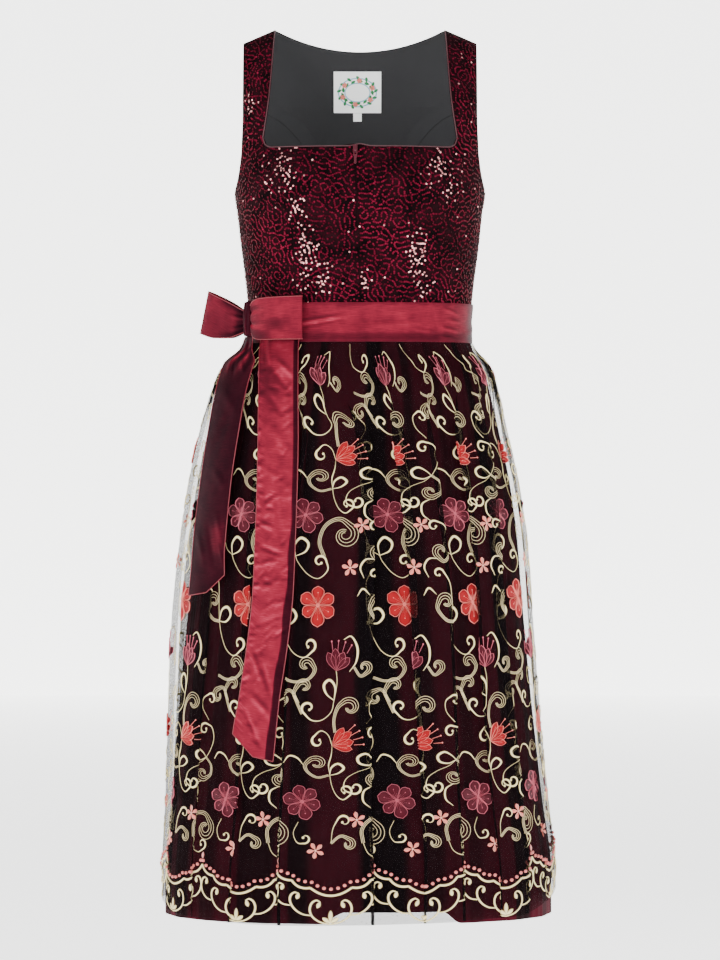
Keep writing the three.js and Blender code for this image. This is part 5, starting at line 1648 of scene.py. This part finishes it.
# Painted shade on the left loop: dark rims at its top and bottom near the knot, and darker where it enters
# the knot.
def left_loop_painted_light(reach, down):
    painted_rim_shade = hump(down, 0, 0.16) * smoothstep(reach, 0.75, 0.35)
    painted_rim_shade = painted_rim_shade + hump(down, 1, 0.24) * smoothstep(reach, 0.72, 0.3)
    return 0.62 - 0.4 * smoothstep(reach, 0.3, 0.08) - 0.45 * painted_rim_shade


# Painted shade on the right loop: a shadow patch in its hollow, a dark foot, and darker where it enters the
# knot.
def right_loop_painted_light(reach, down):
    painted_hollow_shadow = np.exp(-(((reach - 0.62) / 0.16) ** 2) - ((down - 0.62) / 0.14) ** 2)
    foot = hump(down, 0.93, 0.16) * smoothstep(reach, 0.65, 0.2)
    return 0.7 - 0.24 * painted_hollow_shadow - 0.3 * foot - 0.25 * smoothstep(reach, 0.12, 0.0)


loop("bow_loop_left", left_path, curve([0, 0.12, 0.3, 1], [328, 325, 320, 304]),
     curve([0, 0.12, 0.35, 0.6, 1], [351, 354, 358, 358, 352]), left_loop_painted_light, 0.6, 0.18)
loop("bow_loop_right", right_path, curve([0, 0.12, 0.3, 1], [326, 317, 314, 312]),
     curve([0, 0.12, 0.3, 1], [349, 359, 361, 361]), right_loop_painted_light, 2.2)


# %% Tails
TAIL_STEP = 2.4


def over_apron(x, drop, lift):
    """A point in front of band and net at this x, found by halving the turn."""
    low, high = np.full(x.shape, -89.0), np.zeros(x.shape)
    for _ in range(20):
        turn = (low + high) / 2
        cover = np.maximum(BAND_OUT, apron_standoff(turn, drop))
        cover = np.where(drop < BAND_TOP + BAND_HIGH, BAND_OUT, cover)
        point = off_ring(waist_ring, turn, drop, cover + lift)
        low = np.where(point[..., 0] < x, turn, low)
        high = np.where(point[..., 0] < x, high, turn)
    return point


def tail(name, table, slant, tip, folds, tone_with_painted_light):
    """A hanging end of the sash: table is its course, slant and tip shape its cut end."""
    table = np.array(table, float)
    top, bottom = table[0, 0], table[-1, 0]
    level = np.linspace(top, bottom, int((bottom - top) / TAIL_STEP) + 1)[:, None]
    share = np.linspace(0, 1, 37)[None, :]
    centre, wide, lift = (curve(table[:, 0], table[:, i])(level) for i in (1, 2, 3))
    u, v = share * wide, level - top
    end = smoothstep(level, bottom - 60, bottom)
    drop = level + (slant * (share - 0.5) + tip * (1 - np.abs(2 * share - 1))) * end
    height = np.clip(creases(u, v, folds), -1.3, 1.7) * smoothstep(v, -4, 6)
    grid = over_apron(centre + wide * (share - 0.5), drop, lift + height)
    made = wall(name, grid, BOW_CLOTH, [shot_taffeta_painted_light])
    # The tail's painted light and shade, with painted light and shade along its folds.
    paint_light_and_shade(made, tone_with_painted_light(share, v) + 2.2 * painted_slope_light(height, TAIL_STEP))
    cut(grid)
    rim = np.concatenate([grid[::2, 0], grid[-1], grid[::-2, -1]])
    tube(f"{name}_hem", rim, ROLLED_HEM, [hem_thread], sides=6)


SHORT_TAIL = [
    # drop, centre, width, lift over the net
    (357.4, -127.5, 9, 9), (371, -131, 14, 8), (388, -139, 36, 8), (420, -148, 36, 8), (465, -156, 36, 6.5),
    (510, -163, 36, 5), (560, -169, 37, 4), (605, -173, 38, 5), (642, -175, 42, 5),
]
LONG_TAIL = [
    # drop, centre, width, lift over the net
    (344, -90, 38, 2.4), (362, -92, 44, 3), (376, -93, 45, 4.5), (410, -93, 45, 5), (470, -93, 46, 4),
    (530, -94, 46, 5), (590, -96, 46, 4), (650, -98.5, 46, 5), (710, -105, 46, 4), (770, -114, 46, 5),
    (824, -121, 46, 5),
]
SHORT_FOLDS = [
    # from and to, as distance from the left edge and down from the knot, then width and rise
    (3, 0, 8, 40, 1.6, 1.3), (6, 0, 16, 44, 1.6, -1.0), (8, 4, 26, 40, 2, 1.1), (8, 60, 30, 90, 5, 0.6),
    (28, 70, 10, 130, 5, -0.5), (12, 150, 30, 175, 4, 0.6), (24, 205, 34, 240, 3, 1.0),
    (16, 215, 28, 262, 3, -0.8), (4, 225, 14, 255, 3, 0.7), (30, 236, 38, 268, 2, 0.9),
]
LONG_FOLDS = [
    # from and to, as distance from the left edge and down from the knot, then width and rise
    (10, 12, 12, 44, 2.0, 1.3), (6, 16, 7, 46, 1.6, -0.9), (13, 48, 36, 78, 4, -0.9),
    (20, 40, 42, 62, 3.5, 0.9), (6, 74, 30, 106, 4, -0.7), (31, 66, 37, 130, 4, 0.8),
    (14, 116, 38, 150, 5, 0.6), (6, 162, 34, 184, 4, 0.5), (20, 190, 31, 250, 4, -0.6),
    (4, 226, 24, 236, 2.4, 1.0), (4, 252, 30, 262, 2.4, -0.9),
    (6, 274, 26, 268, 2.2, 0.9), (8, 302, 34, 288, 3, 0.6), (10, 342, 38, 330, 3, -0.6),
    (6, 372, 24, 407, 3, 0.9), (20, 384, 36, 422, 3, -0.9), (12, 420, 40, 442, 3, 0.8),
    (8, 440, 30, 468, 3, -0.7),
]
luck = np.random.default_rng(21)
for at in np.arange(44, 470, 6.5):
    at = at + luck.uniform(-2, 2)
    LONG_FOLDS.append((-1, at, luck.uniform(3, 10), at + luck.uniform(-5, 4), 1.5, luck.uniform(-0.9, 1.1)))
for _ in range(70):
    u, v = luck.uniform(4, 32), luck.uniform(56, 465)
    LONG_FOLDS.append((u, v, u + luck.uniform(7, 16), v + luck.uniform(-12, 5), 1.7, luck.uniform(-0.8, 0.6)))


# Painted light on the short tail: a dark ground, highlight streaks where it twists below the knot, and a
# painted sheen low on its right.
def short_tail_painted_light(share, v):
    painted_streaks = 0.5 * hump(v, 24, 18) * (0.5 + 0.5 * np.cos(share * 15 + v / 9))
    painted_sheen = 0.32 * np.exp(-(((v - 232) / 26) ** 2) - ((share - 0.75) / 0.26) ** 2)
    return 0.13 + painted_streaks + painted_sheen


# Painted light and shade on the long tail: a dark strip along its right edge, a soft diagonal painted shadow
# near its top, and shade at its top under the loop.
def long_tail_painted_light(share, v):
    strip = 0.87 - 0.07 * smoothstep(v, 200, 330) + 0.02 * np.sin(v / 11) * smoothstep(v, 150, 260)
    dark = smoothstep(share, strip, strip + 0.03)
    painted_shadow = hump(v - 60, share * 30, 34) * smoothstep(share, 0.75, 0.2)
    return 0.78 - 0.6 * dark - 0.26 * painted_shadow - 0.45 * smoothstep(v, 22, 8)


tail("tail_short", SHORT_TAIL, -24, 8, SHORT_FOLDS, short_tail_painted_light)
tail("tail_long", LONG_TAIL, 30, 10, LONG_FOLDS, long_tail_painted_light)

# %% Closing the script
size = {"cad": [list(corner) for corner in cad_box], "visual": [list(corner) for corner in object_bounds()]}
